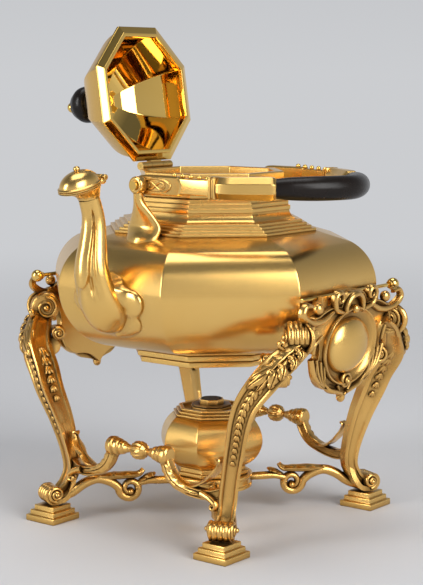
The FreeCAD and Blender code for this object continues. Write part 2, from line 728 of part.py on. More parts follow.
def lid_hinge_parts():
    """The rim's half of the lid hinge, and the pin."""
    half = LID_HINGE_LENGTH / 2
    inner = LID_KNUCKLE_LENGTH / 2 + KNUCKLE_GAP
    axis = V(0, LID_HINGE_Y, LID_HINGE_Z)
    leaf_top = LID_HINGE_Z - LID_KNUCKLE_RADIUS - KNUCKLE_GAP
    leaf = block(
        V(-half, -RIM_SIDE - HINGE_LEAF, leaf_top - HINGE_LEAF_HEIGHT),
        V(half, -RIM_SIDE, leaf_top),
    )
    pieces = []
    for low in (inner, -half):
        length = half - inner
        pieces.append(rod(axis + X_AXIS * low, X_AXIS, LID_KNUCKLE_RADIUS, length))
        pieces.append(block(
            V(low, LID_HINGE_Y, leaf_top - PAST),
            V(low + length, -RIM_SIDE - KNUCKLE_GAP, LID_HINGE_Z - LID_HINGE_UP - KNUCKLE_GAP),
        ))
    hole = rod(axis - X_AXIS * half, X_AXIS, LID_PIN_RADIUS, LID_HINGE_LENGTH)
    rim_half = one_solid(leaf.fuse(pieces).cut(hole))
    pin = rod(axis - X_AXIS * half, X_AXIS, LID_PIN_RADIUS, LID_HINGE_LENGTH)
    return {"rim_hinge": rim_half, "lid_hinge_pin": pin}


def lid_outline(grow):
    """The dome's outline from the flange to its flat top, made larger by grow."""
    low = LID_Z + LID_FLANGE_HEIGHT
    slant = grow * SLANT
    crown_radius = (LID_TURN_RADIUS + LID_TOP_RADIUS) / 2 + LID_CROWN_OUT
    crown_rise = (LID_TURN_RISE + LID_TOP_RISE) / 2 + LID_CROWN_UP
    return [
        (LID_DOME_RADIUS + grow, low),
        (
            (LID_DOME_RADIUS - LID_BOW_IN + grow, low + LID_BOW_RISE + grow * LID_BOW_GROWTH),
            (LID_TURN_RADIUS + slant, low + LID_TURN_RISE + slant),
        ),
        (
            (crown_radius, low + crown_rise + grow),
            (LID_TOP_RADIUS, low + LID_TOP_RISE + grow),
        ),
        (0, low + LID_TOP_RISE + grow),
        (0, low),
    ]


def finial_parts(top):
    """The lid's finial from its collar up, standing on the dome's top, and the nut below it."""
    bore = FINIAL_SCREW_RADIUS
    collar_top = top + FINIAL_COLLAR_HEIGHT
    collar_outline = from_shares(FINIAL_COLLAR_OUTLINE, FINIAL_COLLAR_RADIUS, top, FINIAL_COLLAR_HEIGHT)
    collar = turned([(bore, top)] + collar_outline + [(bore, collar_top)])
    knop_top = collar_top + KNOP_HEIGHT
    knop_outline = from_shares(KNOP_OUTLINE, KNOP_RADIUS, collar_top, KNOP_HEIGHT)
    knop = turned([(bore, collar_top)] + knop_outline + [(bore, knop_top)])
    nut_top = top - SHEET
    nut_low = nut_top - FINIAL_NUT_HEIGHT
    screw_low = nut_low - FINIAL_SCREW_PROUD
    screw = rod(V(0, 0, screw_low), Z_AXIS, bore, knop_top - screw_low)
    ball = Part.makeSphere(TIP_RADIUS, V(0, 0, knop_top + TIP_RISE))
    seat = rod(V(0, 0, knop_top), Z_AXIS, TIP_SEAT_RADIUS, TIP_SEAT_HEIGHT)
    below = rod(V(0, 0, knop_top - TIP_RADIUS), Z_AXIS, 2 * TIP_RADIUS, TIP_RADIUS)
    nut = octagonal([(0, nut_low), (FINIAL_NUT_RADIUS, nut_low), (FINIAL_NUT_RADIUS, nut_top), (0, nut_top)])
    return {
        "finial_collar": collar,
        "finial_knop": knop,
        "finial_tip": one_solid(screw.fuse([ball.cut(below), seat])),
        "finial_nut": one_solid(nut.cut(screw)),
    }


def lid_parts():
    """The lid with its finial, drawn shut and then opened."""
    flange_top = LID_Z + LID_FLANGE_HEIGHT
    step_z = LID_Z + LID_STEP_RISE
    step_radius = RIM_RADIUS - LID_FLANGE_STEP
    flange = octagonal([
        (LID_FLANGE_BORE, LID_Z),
        (RIM_RADIUS, LID_Z),
        (RIM_RADIUS, step_z),
        (step_radius, step_z),
        (step_radius, flange_top),
        (LID_FLANGE_BORE, flange_top),
    ])
    top = flange_top + LID_TOP_RISE
    screw_hole = rod(V(0, 0, LID_Z), Z_AXIS, FINIAL_SCREW_RADIUS, top + PAST - LID_Z)
    dome = octagonal(lid_outline(0)).cut(octagonal(lid_outline(-SHEET))).cut(screw_hole)

    half = LID_KNUCKLE_LENGTH / 2
    axis = V(0, LID_HINGE_Y, LID_HINGE_Z)
    barrel_start = axis - X_AXIS * half
    barrel = rod(barrel_start, X_AXIS, LID_KNUCKLE_RADIUS, LID_KNUCKLE_LENGTH)
    web = block(V(-half, LID_HINGE_Y, LID_Z), V(half, -RIM_SIDE, step_z))
    hole = rod(barrel_start, X_AXIS, LID_PIN_RADIUS + HINGE_CLEARANCE, LID_KNUCKLE_LENGTH)

    parts = {
        "lid_flange": flange,
        "lid_dome": one_solid(dome),
        "lid_knuckle": one_solid(barrel.fuse(web).cut(hole)),
    }
    parts.update(finial_parts(top))
    for shape in parts.values():
        shape.rotate(axis, X_AXIS, LID_ANGLE)
    return parts


def bail_parts():
    """The bail: two metal arms with sockets, a wooden grip, and its pins."""
    arm_x = PIVOT_X - LUG_THICKNESS / 2 - KNUCKLE_GAP - ARM_THICKNESS / 2
    end_x, end_y, end_high, _ = BAIL_SOCKET[-1]
    joint = V(arm_x + end_x, end_y, 0)
    before = V(arm_x + BAIL_SOCKET[-2][0], BAIL_SOCKET[-2][1], 0)
    way = (joint - before).normalize()

    def run(places):
        points = [V(arm_x + x, y, 0) for x, y, _, _ in places]
        return points, [(high, deep) for _, _, high, deep in places]

    stem_block = bar(*run(BAIL_BLOCK), X_AXIS, Y_AXIS)
    stem = bar(*run(BAIL_ARM), X_AXIS)
    collar = bar(*run(BAIL_COLLAR), X_AXIS)
    socket = bar(*run(BAIL_SOCKET), X_AXIS, None, way)
    eye_start = V(arm_x - ARM_THICKNESS / 2, 0, 0)
    eye = rod(eye_start, X_AXIS, ARM_EYE_RADIUS, ARM_THICKNESS)
    neck = block(
        V(arm_x - ARM_THICKNESS / 2, 0, -ARM_EYE_RADIUS),
        V(arm_x + ARM_THICKNESS / 2, BAIL_BLOCK[0][1], ARM_EYE_RADIUS),
    )
    hole_start = eye_start - X_AXIS * PAST
    pivot_hole = rod(hole_start, X_AXIS, PIVOT_PIN_RADIUS + HINGE_CLEARANCE, ARM_THICKNESS + 2 * PAST)
    tenon_start = joint - way * TENON_LENGTH
    mortise_start = tenon_start - way * MORTISE_SLACK
    mortise = rod(mortise_start, way, TENON_RADIUS + HINGE_CLEARANCE, TENON_LENGTH + PAST)
    pin_place = joint - way * GRIP_PIN_INSET
    pin_half = end_high / 2 - GRIP_PIN_SINK
    grip_pin = rod(pin_place - Z_AXIS * pin_half, Z_AXIS, GRIP_PIN_RADIUS, 2 * pin_half)
    arm = eye.fuse([neck, stem_block, stem, collar, socket])
    arm = one_solid(arm.cut(pivot_hole).cut(mortise).cut(grip_pin))

    right = [V(arm_x + x, y, 0) for x, y, _ in GRIP_PATH]
    radii = [GRIP_RADIUS] + [radius for _, _, radius in GRIP_PATH] + [GRIP_APEX_RADIUS]
    points = [joint] + right + [V(0, GRIP_APEX, 0)]
    points += [V(-point.x, point.y, 0) for point in reversed(points[:-1])]
    radii += list(reversed(radii[:-1]))
    ways = directions(points, way, V(way.x, -way.y, 0))
    wires = [Part.Wire(Part.Circle(p, w, r).toShape()) for p, w, r in zip(points, ways, radii)]
    grip = Part.makeLoft(wires, True, False)
    tenon = rod(tenon_start, way, TENON_RADIUS, TENON_LENGTH)
    grip = one_solid(grip.fuse([tenon, mirrored(tenon, X_AXIS)]))
    grip = one_solid(grip.cut(grip_pin).cut(mirrored(grip_pin, X_AXIS)))

    pin_length = LUG_THICKNESS + KNUCKLE_GAP + ARM_THICKNESS
    pivot = rod(eye_start, X_AXIS, PIVOT_PIN_RADIUS, pin_length)
    head_start = eye_start + X_AXIS * pin_length
    pivot = one_solid(pivot.fuse(rod(head_start, X_AXIS, PIVOT_HEAD_RADIUS, PIVOT_HEAD_LENGTH)))

    parts = {
        "handle_arm_front": arm,
        "handle_arm_back": mirrored(arm, X_AXIS),
        "handle_grip": grip,
        "grip_pins": Part.makeCompound([grip_pin, mirrored(grip_pin, X_AXIS)]),
        "pivot_pins": Part.makeCompound([pivot, mirrored(pivot, X_AXIS)]),
    }
    for shape in parts.values():
        shape.rotate(V(0, 0, 0), X_AXIS, BAIL_LIFT)
        shape.translate(V(0, 0, PIVOT_Z))
    return parts


def locking_pin():
    """A rod with a ball head, which locks the kettle to one side of the stand."""
    start = V(PIN_FAR_END - PIN_LENGTH, PIN_Y, PIN_Z)
    ball = Part.makeSphere(PIN_BALL_RADIUS, start - X_AXIS * PIN_BALL_OUT, X_AXIS)
    return one_solid(rod(start, X_AXIS, PIN_RADIUS, PIN_LENGTH).fuse(ball))


def cartouche():
    """The right-hand cartouche: a lobed plate with volutes, a frame for its boss and two cradles."""
    crest = (0.0, CARTOUCHE_TOP)
    points = [crest] + CARTOUCHE_OUTLINE
    starts = [crest] + [end for _, end in CARTOUCHE_OUTLINE]
    for (middle, _), start in zip(reversed(CARTOUCHE_OUTLINE), reversed(starts[:-1])):
        points.append(((-middle[0], middle[1]), (-start[0], start[1])))
    plate = section(points).extrude(V(0, CARTOUCHE_THICKNESS, 0))
    pieces = []
    for x, z, radius in CARTOUCHE_VOLUTES:
        for sign in (1, -1):
            pieces.append(rod(V(sign * x, 0, z), Y_AXIS, radius, CARTOUCHE_THICKNESS + VOLUTE_PROUD))
    centre = V(0, 0, -BOSS_BELOW_PIN)

    def oval(grow):
        half_width = BOSS_HALF_WIDTH + grow
        half_height = BOSS_HALF_HEIGHT + grow
        return Part.Face(ellipse_wire(centre, Y_AXIS * -1, X_AXIS, half_width, half_height))

    frame = oval(BOSS_FRAME).cut(oval(SEAT_GAP)).extrude(V(0, CARTOUCHE_THICKNESS + BOSS_FRAME_PROUD, 0))
    plate = plate.fuse(pieces + [frame])
    boss = oval_dome(BOSS_HALF_WIDTH, BOSS_HALF_HEIGHT, BOSS_PROUD)
    boss.rotate(V(0, 0, 0), X_AXIS, -90)
    boss.translate(centre + Y_AXIS * CARTOUCHE_THICKNESS)
    for shape in (plate, boss):
        shape.rotate(V(0, 0, 0), X_AXIS, -CARTOUCHE_LEAN)
        shape.translate(V(0, CARTOUCHE_Y, PIN_Z))

    slot_half = PIN_RADIUS + HINGE_CLEARANCE
    low = PIN_Z - CRADLE_DEPTH
    high = PIN_Z + PIN_RADIUS
    cradles = []
    first = EYE_LENGTH / 2 + CRADLE_GAP
    for start in (first, -first - CRADLE_LENGTH):
        hook = block(
            V(start, PIN_Y - slot_half - CRADLE_WALL, low),
            V(start + CRADLE_LENGTH, CARTOUCHE_Y + CARTOUCHE_THICKNESS / 2, high),
        )
        groove = rod(V(start, PIN_Y, PIN_Z), X_AXIS, slot_half, CRADLE_LENGTH)
        way_in = block(
            V(start, PIN_Y - slot_half, PIN_Z),
            V(start + CRADLE_LENGTH, PIN_Y + slot_half, high),
        )
        cradles.append(hook.cut(groove).cut(way_in))
    plate = one_solid(plate.fuse(cradles))
    return plate, one_solid(boss)


def leg(plate):
    """The leg at the front right: a foot scroll, a curved post and a knee that runs into the cartouche."""
    diagonal = V(FOOT_X, FOOT_Y, 0).normalize()
    across = V(-diagonal.y, diagonal.x, 0)
    points = []
    sizes = []
    for x, y, z, width, depth in LEG_PATH:
        points.append(V(FOOT_X + x, FOOT_Y + y, PLINTH_HEIGHT + z))
        sizes.append((width, depth))
    for x, y, z, width, depth in KNEE_PATH:
        points.append(V(x, CARTOUCHE_Y + y, PIN_Z + z))
        sizes.append((width, depth))
    post = bar(points, sizes, diagonal)
    scroll_z = PLINTH_HEIGHT + FOOT_SCROLL_RADIUS - FOOT_SCROLL_SINK
    scroll_start = V(FOOT_X, FOOT_Y, scroll_z) - across * (FOOT_SCROLL_WIDTH / 2)
    foot_scroll = rod(scroll_start, across, FOOT_SCROLL_RADIUS, FOOT_SCROLL_WIDTH)
    knee_number = len(LEG_PATH) + KNEE_SCROLL_PLACE
    knee = points[knee_number] - diagonal * (sizes[knee_number][1] / 2) - Z_AXIS * KNEE_SCROLL_DROP
    knee_start = knee - diagonal * (KNEE_SCROLL_WIDTH / 2)
    knee_scroll = rod(knee_start, diagonal, KNEE_SCROLL_RADIUS, KNEE_SCROLL_WIDTH)
    head = V(HEAD_SCROLL_X, CARTOUCHE_Y - HEAD_SCROLL_BEHIND, PIN_Z - HEAD_SCROLL_DROP)
    head_start = head - across * (HEAD_SCROLL_WIDTH / 2)
    head_scroll = rod(head_start, across, HEAD_SCROLL_RADIUS, HEAD_SCROLL_WIDTH)
    below = block(V(0, 0, 0), V(2 * FOOT_X, 2 * FOOT_Y, PLINTH_HEIGHT))
    return one_solid(post.fuse([foot_scroll, knee_scroll, head_scroll]).cut(below).cut(plate))


def plinth():
    """A stepped square foot."""
    steps = []
    height = PLINTH_HEIGHT / PLINTH_STEPS
    for number in range(PLINTH_STEPS):
        half = PLINTH_SIDE / 2 - number * PLINTH_STEP
        low = V(FOOT_X - half, FOOT_Y - half, number * height)
        steps.append(block(low, V(FOOT_X + half, FOOT_Y + half, (number + 1) * height)))
    return one_solid(steps[0].fuse(steps[1:]).removeSplitter())


def baluster():
    """The turned middle of a stretcher, along Y at the spout side."""
    end = BALUSTER_HALF_LENGTH
    knop_low = BALUSTER_KNOP_AT - BALUSTER_KNOP_HALF
    knop_high = BALUSTER_KNOP_AT + BALUSTER_KNOP_HALF
    outline = [
        (0, -end),
        (BALUSTER_NECK, -end),
        ((BALUSTER_SWELL, -BALUSTER_SWELL_AT), (BALUSTER_NECK, -knop_high)),
        ((BALUSTER_KNOP, -BALUSTER_KNOP_AT), (BALUSTER_NECK, -knop_low)),
        (BALUSTER_NECK, -BALUSTER_BALL_HALF),
        ((BALUSTER_BALL, 0.0), (BALUSTER_NECK, BALUSTER_BALL_HALF)),
        (BALUSTER_NECK, knop_low),
        ((BALUSTER_KNOP, BALUSTER_KNOP_AT), (BALUSTER_NECK, knop_high)),
        ((BALUSTER_SWELL, BALUSTER_SWELL_AT), (BALUSTER_NECK, end)),
        (0, end),
    ]
    shape = turned(outline)
    shape.rotate(V(0, 0, 0), X_AXIS, -90)
    shape.translate(V(STRETCHER_X, 0, STRETCHER_Z))
    return shape


def stretcher_scroll(post):
    """A scroll bar from the baluster's end to the leg at the front right."""
    end = BALUSTER_HALF_LENGTH
    points = [V(STRETCHER_X, end + out, STRETCHER_Z + up) for out, up, _ in STRETCHER_PATH]
    sizes = [(STRETCHER_THICKNESS, high) for _, _, high in STRETCHER_PATH]
    scroll = bar(points, sizes, Z_AXIS, Y_AXIS)
    beyond = block(
        V(STRETCHER_X - end, 0, STRETCHER_Z - end),
        V(STRETCHER_X + end, end, STRETCHER_Z + end),
    )
    pieces = scroll.cut(beyond).cut(post).Solids
    return min(pieces, key=lambda solid: solid.CenterOfMass.y)


def lamp_arm(post, ring):
    """A scroll arm from the leg at the front right to the lamp ring."""

    def run(places):
        points = [V(r, 0, z) for r, z, _ in places]
        return bar(points, [(ARM_WIDTH, size) for _, _, size in places], Z_AXIS)

    loop = Part.makeTorus(ARM_LOOP_RADIUS, ARM_LOOP_WIRE, V(ARM_LOOP_R, 0, ARM_LOOP_Z), Y_AXIS)
    arm = run(ARM_OUTER).fuse([run(ARM_INNER), run(ARM_LEAF), loop])
    arm.rotate(V(0, 0, 0), Z_AXIS, LEG_ANGLE)
    return one_solid(arm.cut(post).cut(ring))


def lamp_parts():
    """The lamp, its foot and collar, and the burner with its wick."""
    low = LAMP_SEAT_Z + SEAT_GAP
    spigot = LAMP_RING_BORE - RUN_GAP
    middle = low + LAMP_FOOT_HEIGHT / 2
    foot = octagonal([
        (0, low - LAMP_SPIGOT_DEPTH),
        (spigot, low - LAMP_SPIGOT_DEPTH),
        (spigot, low),
        (LAMP_FOOT_RADIUS, low),
        (LAMP_FOOT_RADIUS, middle),
        (LAMP_FOOT_RADIUS - LAMP_FOOT_STEP, middle),
        (LAMP_FOOT_RADIUS - LAMP_FOOT_STEP, LAMP_BASE_Z),
        (0, LAMP_BASE_Z),
    ])

    def outline(grow):
        belly = LAMP_BASE_Z + LAMP_BELLY_RISE
        slant = grow * SLANT
        return [
            (0, LAMP_BASE_Z - grow),
            (LAMP_BASE_RADIUS + slant, LAMP_BASE_Z - grow),
            (
                (LAMP_RADIUS - LAMP_LOWER_TURN_IN + slant, LAMP_BASE_Z + LAMP_LOWER_TURN_UP - slant),
                (LAMP_RADIUS + grow, belly),
            ),
            (
                (LAMP_RADIUS - LAMP_UPPER_TURN_IN + grow, belly + LAMP_UPPER_TURN_UP),
                (LAMP_TOP_RADIUS, LAMP_TOP_Z + grow),
            ),
            (0, LAMP_TOP_Z + grow),
        ]

    flange_top = COLLAR_TOP_Z + BURNER_FLANGE_HEIGHT
    nozzle_top = flange_top + NOZZLE_HEIGHT
    burner_low = COLLAR_TOP_Z - BURNER_DEPTH
    hole = rod(V(0, 0, burner_low - PAST), Z_AXIS, BURNER_RADIUS + RUN_GAP, BURNER_DEPTH + 2 * PAST)
    body = one_solid(octagonal(outline(0)).cut(octagonal(outline(-SHEET))).cut(hole))
    half_height = LAMP_TOP_Z + COLLAR_HEIGHT / 2
    collar = octagonal([
        (0, LAMP_TOP_Z),
        (LAMP_TOP_RADIUS, LAMP_TOP_Z),
        (LAMP_TOP_RADIUS, half_height),
        (LAMP_TOP_RADIUS - COLLAR_STEP, half_height),
        (LAMP_TOP_RADIUS - COLLAR_STEP, COLLAR_TOP_Z),
        (0, COLLAR_TOP_Z),
    ])
    burner = turned([
        (WICK_RADIUS, burner_low),
        (BURNER_RADIUS, burner_low),
        (BURNER_RADIUS, COLLAR_TOP_Z + SEAT_GAP),
        (BURNER_FLANGE, COLLAR_TOP_Z + SEAT_GAP),
        (BURNER_FLANGE, flange_top),
        (NOZZLE_FOOT_RADIUS, flange_top),
        ((NOZZLE_COVE_RADIUS, flange_top + NOZZLE_COVE_RISE), (NOZZLE_RADIUS, nozzle_top)),
        (WICK_RADIUS, nozzle_top),
    ])
    wick_top = nozzle_top + WICK_PROUD
    wick = rod(V(0, 0, wick_top - WICK_LENGTH), Z_AXIS, WICK_RADIUS, WICK_LENGTH)
    return {
        "lamp_foot": foot,
        "lamp_body": body,
        "lamp_collar": one_solid(collar.cut(hole)),
        "burner": burner,
        "wick": wick,
    }


def stand_parts():
    """The stand: one quarter of it is drawn and reflected, front to back and side to side."""
    ring = octagonal([
        (LAMP_RING_BORE, LAMP_RING_Z),
        (LAMP_RING_RADIUS, LAMP_RING_Z),
        (LAMP_RING_RADIUS, LAMP_SEAT_Z),
        (LAMP_RING_BORE, LAMP_SEAT_Z),
    ])
    plate, boss = cartouche()
    post = leg(plate)
    quarter = {
        "leg": post,
        "foot": plinth(),
        "stretcher": stretcher_scroll(post),
        "lamp_arm": lamp_arm(post, ring),
    }
    parts = {"lamp_ring": ring}
    for end, x_mirror in (("front", False), ("back", True)):
        middle = baluster()
        parts["baluster_" + end] = mirrored(middle, X_AXIS) if x_mirror else middle
        for side, y_mirror in (("right", False), ("left", True)):
            for name, shape in quarter.items():
                placed = mirrored(shape, X_AXIS) if x_mirror else shape
                placed = mirrored(placed, Y_AXIS) if y_mirror else placed
                parts["_".join((name, end, side))] = placed
    parts["cartouche_right"] = plate
    parts["cartouche_left"] = mirrored(plate, Y_AXIS)
    parts["boss_right"] = boss
    parts["boss_left"] = mirrored(boss, Y_AXIS)
    return parts


def half_turn(shape):
    """A copy of a shape turned half round the kettle's axis."""
    copy = shape.copy()
    copy.rotate(V(0, 0, 0), Z_AXIS, 180)
    return copy


def all_parts():
    """Every piece by name."""
    parts = kettle_parts()
    parts.update(mouth_parts())
    parts.update(lid_hinge_parts())
    parts.update(lid_parts())
    parts.update(bail_parts())
    parts.update(stand_parts())
    parts.update(lamp_parts())
    parts["handle_lug_back"] = mirrored(parts["handle_lug_front"], X_AXIS)
    parts["pin_eye_left"] = mirrored(parts["pin_eye_right"], Y_AXIS)
    parts["locking_pin_right"] = locking_pin()
    parts["locking_pin_left"] = half_turn(parts["locking_pin_right"])
    return parts


os.makedirs("parts", exist_ok=True)
for node, shape in sorted(all_parts().items()):
    shape.exportStep("parts/" + node + ".step")
    print(node, len(shape.Solids), shape.isValid(), round(shape.Volume))
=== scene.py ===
"""Looks of an eight-sided gilt tea kettle, its lid open, on a scroll stand over a spirit lamp.

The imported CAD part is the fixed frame. Lengths are millimetres until a mesh is made from them.
+X is the way the spout points, +Y the side on which the bail lies down, +Z is up.
"""

from __future__ import annotations

import json
import logging
import math
from dataclasses import dataclass, field
from enum import Enum
from typing import Sequence

import bmesh
import bpy
import numpy as np
from mathutils import Matrix, Vector

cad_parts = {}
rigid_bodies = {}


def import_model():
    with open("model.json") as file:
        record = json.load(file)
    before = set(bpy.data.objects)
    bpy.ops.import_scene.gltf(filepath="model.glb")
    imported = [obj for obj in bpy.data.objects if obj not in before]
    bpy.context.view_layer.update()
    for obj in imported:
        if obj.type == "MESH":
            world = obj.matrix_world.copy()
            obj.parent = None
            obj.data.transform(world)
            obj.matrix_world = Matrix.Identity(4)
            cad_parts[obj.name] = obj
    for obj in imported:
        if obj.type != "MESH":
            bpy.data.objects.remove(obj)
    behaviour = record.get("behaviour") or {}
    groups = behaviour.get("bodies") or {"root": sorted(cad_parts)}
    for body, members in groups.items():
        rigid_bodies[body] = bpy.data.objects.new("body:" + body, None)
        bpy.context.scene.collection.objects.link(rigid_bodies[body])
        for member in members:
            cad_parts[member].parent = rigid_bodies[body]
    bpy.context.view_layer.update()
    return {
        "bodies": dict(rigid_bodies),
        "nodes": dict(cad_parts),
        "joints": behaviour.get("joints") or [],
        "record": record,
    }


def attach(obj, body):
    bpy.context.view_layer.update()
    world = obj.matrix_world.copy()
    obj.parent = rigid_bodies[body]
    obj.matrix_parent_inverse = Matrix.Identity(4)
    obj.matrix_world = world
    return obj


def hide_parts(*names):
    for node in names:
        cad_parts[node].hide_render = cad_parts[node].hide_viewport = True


LOG = logging.getLogger("kettle")
MM = 0.001
WELD = 0.002  # points nearer to each other than this become one
SIDES = 8
TO_SIDE = math.cos(math.pi / SIDES)  # from an octagon's corner radius to the middle of its sides
UP = np.array([0.0, 0.0, 1.0])
X_AXIS, Y_AXIS, Z_AXIS = (1, 0, 0), (0, 1, 0), (0, 0, 1)
HANDS = (1, -1)

TINY = 1e-6
STRAIGHT = 0.88  # cosine of the bend up to which a corner is left as it is
CUT_SHARE = 0.42  # the most that a rounding takes of a side
ROUNDING = (0.0, 0.33, 0.67, 1.0)  # where the points of a rounding lie on it
SPIRAL_POINTS = 22  # for each turn
ROUND_POINTS, ARCH_POINTS = 14, 9  # of the cuts across bars
ARCH_FULLNESS = 0.8  # below 1 the arch is fuller than an oval
ARCH_SUNK = 0.4  # how far a half-round bar goes below its board
BLOCK_CORNER = 0.18  # rounding of a block's corners, of its lesser size
CORNER_TURNS = (-22.5, -22.5, -11.25, 0.0, 11.25, 22.5, 22.5)  # degrees, round an octagon's corner
CORNER_SLIPS = (-0.8, 0.0, 0.0, 0.0, 0.0, 0.0, 0.8)  # along its sides, in radii of the rounding
CORNER_SHARE = 0.2  # the most that a rounding takes of an octagon's radius
RING_POINTS, ROD_POINTS = 40, 24

LEAF_POINTS = 15  # across a leaf
LEAF_SHEET = 0.8
LEAF_BACK = 0.92  # width of its back, of its front
LEAF_NOTCH = 0.28  # how far the notches between lobes go in
LEAF_VEIN = (0.55, 0.11)  # depth and width of the vein
LEAF_RIBS = (0.16, 3.0)  # height and slant of the ribs

COIL_POINTS = 24  # for each turn
COIL_IN = 0.82  # how far the coil winds in
COIL_RISE = 1.3  # above 1 it rises late
COIL_THIN = 0.45  # how much thinner its wire gets
COIL_DEEP = 1.3  # depth of the wire, of its width
COIL_EYE = np.array([0.26, 0.26, 0.3])

Step = Sequence
Line = np.ndarray
Pair = tuple[float, float]
Triple = tuple[float, float, float]
Many = tuple[float, ...]


@dataclass
class Form:
    """A surface in millimetres: its points and the faces between them."""

    points: np.ndarray
    faces: list[tuple[int, ...]]

    def moved(self, offset: Sequence[float]) -> Form:
        """The form shifted by an offset."""
        return Form(self.points + np.asarray(offset, float), self.faces)

    def turned(self, degrees: float, axis: Sequence[float], centre: Sequence[float] = (0, 0, 0)) -> Form:
        """The form turned about an axis through a centre.

        Args:
            degrees: the turn, by the right hand.
            axis: its direction.
            centre: a point on the axis.

        Returns:
            The turned form.
        """
        rotation = np.array(Matrix.Rotation(math.radians(degrees), 3, Vector(axis)))
        middle = np.asarray(centre, float)
        return Form((self.points - middle) @ rotation.T + middle, self.faces)

    def mirrored(self, axis: int) -> Form:
        """The form reflected through the origin along x (0), y (1) or z (2).

        Args:
            axis: the column whose sign changes.

        Returns:
            The reflected form, with its faces the right way out.
        """
        points = self.points.copy()
        points[:, axis] *= -1
        return Form(points, [face[::-1] for face in self.faces])


@dataclass(frozen=True)
class Board:
    """A drawing board in space: u and v lie in it, and w stands out of it, as a rule to the front."""

    origin: Sequence[float]
    u: Sequence[float] = Y_AXIS
    v: Sequence[float] = Z_AXIS
    w: Sequence[float] = X_AXIS

    def place(self, drawn: Line) -> Line:
        """Points given as u, v and, if there is a third column, w, in space.

        Args:
            drawn: rows of two or three numbers.

        Returns:
            Rows of x, y and z.
        """
        rows = np.asarray(drawn, float)
        axes = np.array([self.u, self.v, self.w])[: rows.shape[-1]]
        return np.asarray(self.origin) + rows @ axes

    def form(self, drawn: Form) -> Form:
        """A form drawn on the board, in space."""
        return Form(self.place(drawn.points), drawn.faces)


class Section(Enum):
    """The cut across a bar or scroll."""

    ROUND = "round"
    HALF_ROUND = "half round"
    BLOCK = "block"


def unit(vectors: Line) -> Line:
    """Vectors scaled to a length of one."""
    return vectors / np.maximum(np.linalg.norm(vectors, axis=-1, keepdims=True), TINY)


def full_turn(count: int) -> Line:
    """Evenly spread angles, once round."""
    return np.linspace(0, math.tau, count, endpoint=False)


def oval(angles: Line, wide: float | Line = 1.0, high: float | Line | None = None) -> Line:
    """Points of an oval with two half sizes, or of a circle with one, at the given angles."""
    return np.stack([wide * np.cos(angles), (wide if high is None else high) * np.sin(angles)], axis=1)


def at_height(drawn: Line, height: float | Line) -> Line:
    """Flat points with their height as a third column."""
    return np.column_stack([drawn, np.broadcast_to(height, len(drawn))])


def both_sides(half: Line) -> Line:
    """A closed outline from its right half, which starts and ends on the middle line."""
    return np.vstack([half, half[-2:0:-1] * (-1, 1)])


def joined(forms: Sequence[Form]) -> Form:
    """Several forms as one.

    Args:
        forms: the forms, in order.

    Returns:
        One form with all their points and faces.
    """
    points, faces, count = [], [], 0
    for form in forms:
        points.append(form.points)
        faces += [tuple(corner + count for corner in face) for face in form.faces]
        count += len(form.points)
    return Form(np.vstack(points), faces)


def four_ways(forms: Sequence[Form]) -> dict[str, Form]:
    """Forms of the front right quarter, reflected to all four quarters, by the quarter's name.

    Args:
        forms: the forms of the front right quarter.

    Returns:
        One joined form for each quarter.
    """
    front = joined(forms)
    back = front.mirrored(0)
    return {
        "front_right": front,
        "front_left": front.mirrored(1),
        "back_right": back,
        "back_left": back.mirrored(1),
    }


def skin(rows: Line, loop: bool = False) -> Form:
    """A surface over rows of points, each of which closes on itself.

    Args:
        rows: points as rows, columns and x, y, z.
        loop: the last row joins the first; otherwise the end rows are filled.

    Returns:
        The surface.
    """
    count, width = rows.shape[:2]
    index = np.arange(count * width).reshape(count, width).tolist()
    faces = []
    for number in range(count if loop else count - 1):
        low, high = index[number], index[(number + 1) % count]
        for left in range(width):
            right = (left + 1) % width
            faces.append((low[left], low[right], high[right], high[left]))
    if not loop:
        faces += [tuple(index[0][::-1]), tuple(index[-1])]
    return Form(rows.reshape(-1, 3), faces)


def arc(start: Step, middle: Step, end: Step, count: int) -> Line:
    """Points on the circle through three points, after the start and up to the end.

    Args:
        start: the first point, which isn't given again.
        middle: a point on the way.
        end: the last point.
        count: how many points to give.

    Returns:
        Rows of two numbers.
    """
    (ax, ay), (bx, by), (cx, cy) = start, middle, end
    d = 2 * (ax * (by - cy) + bx * (cy - ay) + cx * (ay - by))
    a, b, c = ax * ax + ay * ay, bx * bx + by * by, cx * cx + cy * cy
    x = (a * (by - cy) + b * (cy - ay) + c * (ay - by)) / d
    y = (a * (cx - bx) + b * (ax - cx) + c * (bx - ax)) / d
    first = math.atan2(ay - y, ax - x)
    turns = [(math.atan2(py - y, px - x) - first) % math.tau for px, py in (middle, end)]
    sweep = turns[1] if turns[0] < turns[1] else turns[1] - math.tau
    angles = first + sweep * np.arange(1, count + 1) / count
    return oval(angles, math.hypot(ax - x, ay - y)) + (x, y)


def outline(steps: Sequence[Step], arc_points: int) -> Line:
    """A drawn outline.

    Args:
        steps: a pair of numbers is a line's end, and a pair of pairs an arc's middle and end.
        arc_points: how many points each arc gets.

    Returns:
        Its points.
    """
    rows = [np.array([steps[0]], float)]
    for step in steps[1:]:
        if isinstance(step[0], (tuple, list)):
            rows.append(arc(rows[-1][-1], step[0], step[1], arc_points))
        else:
            rows.append(np.array([step], float))
    return np.vstack(rows)


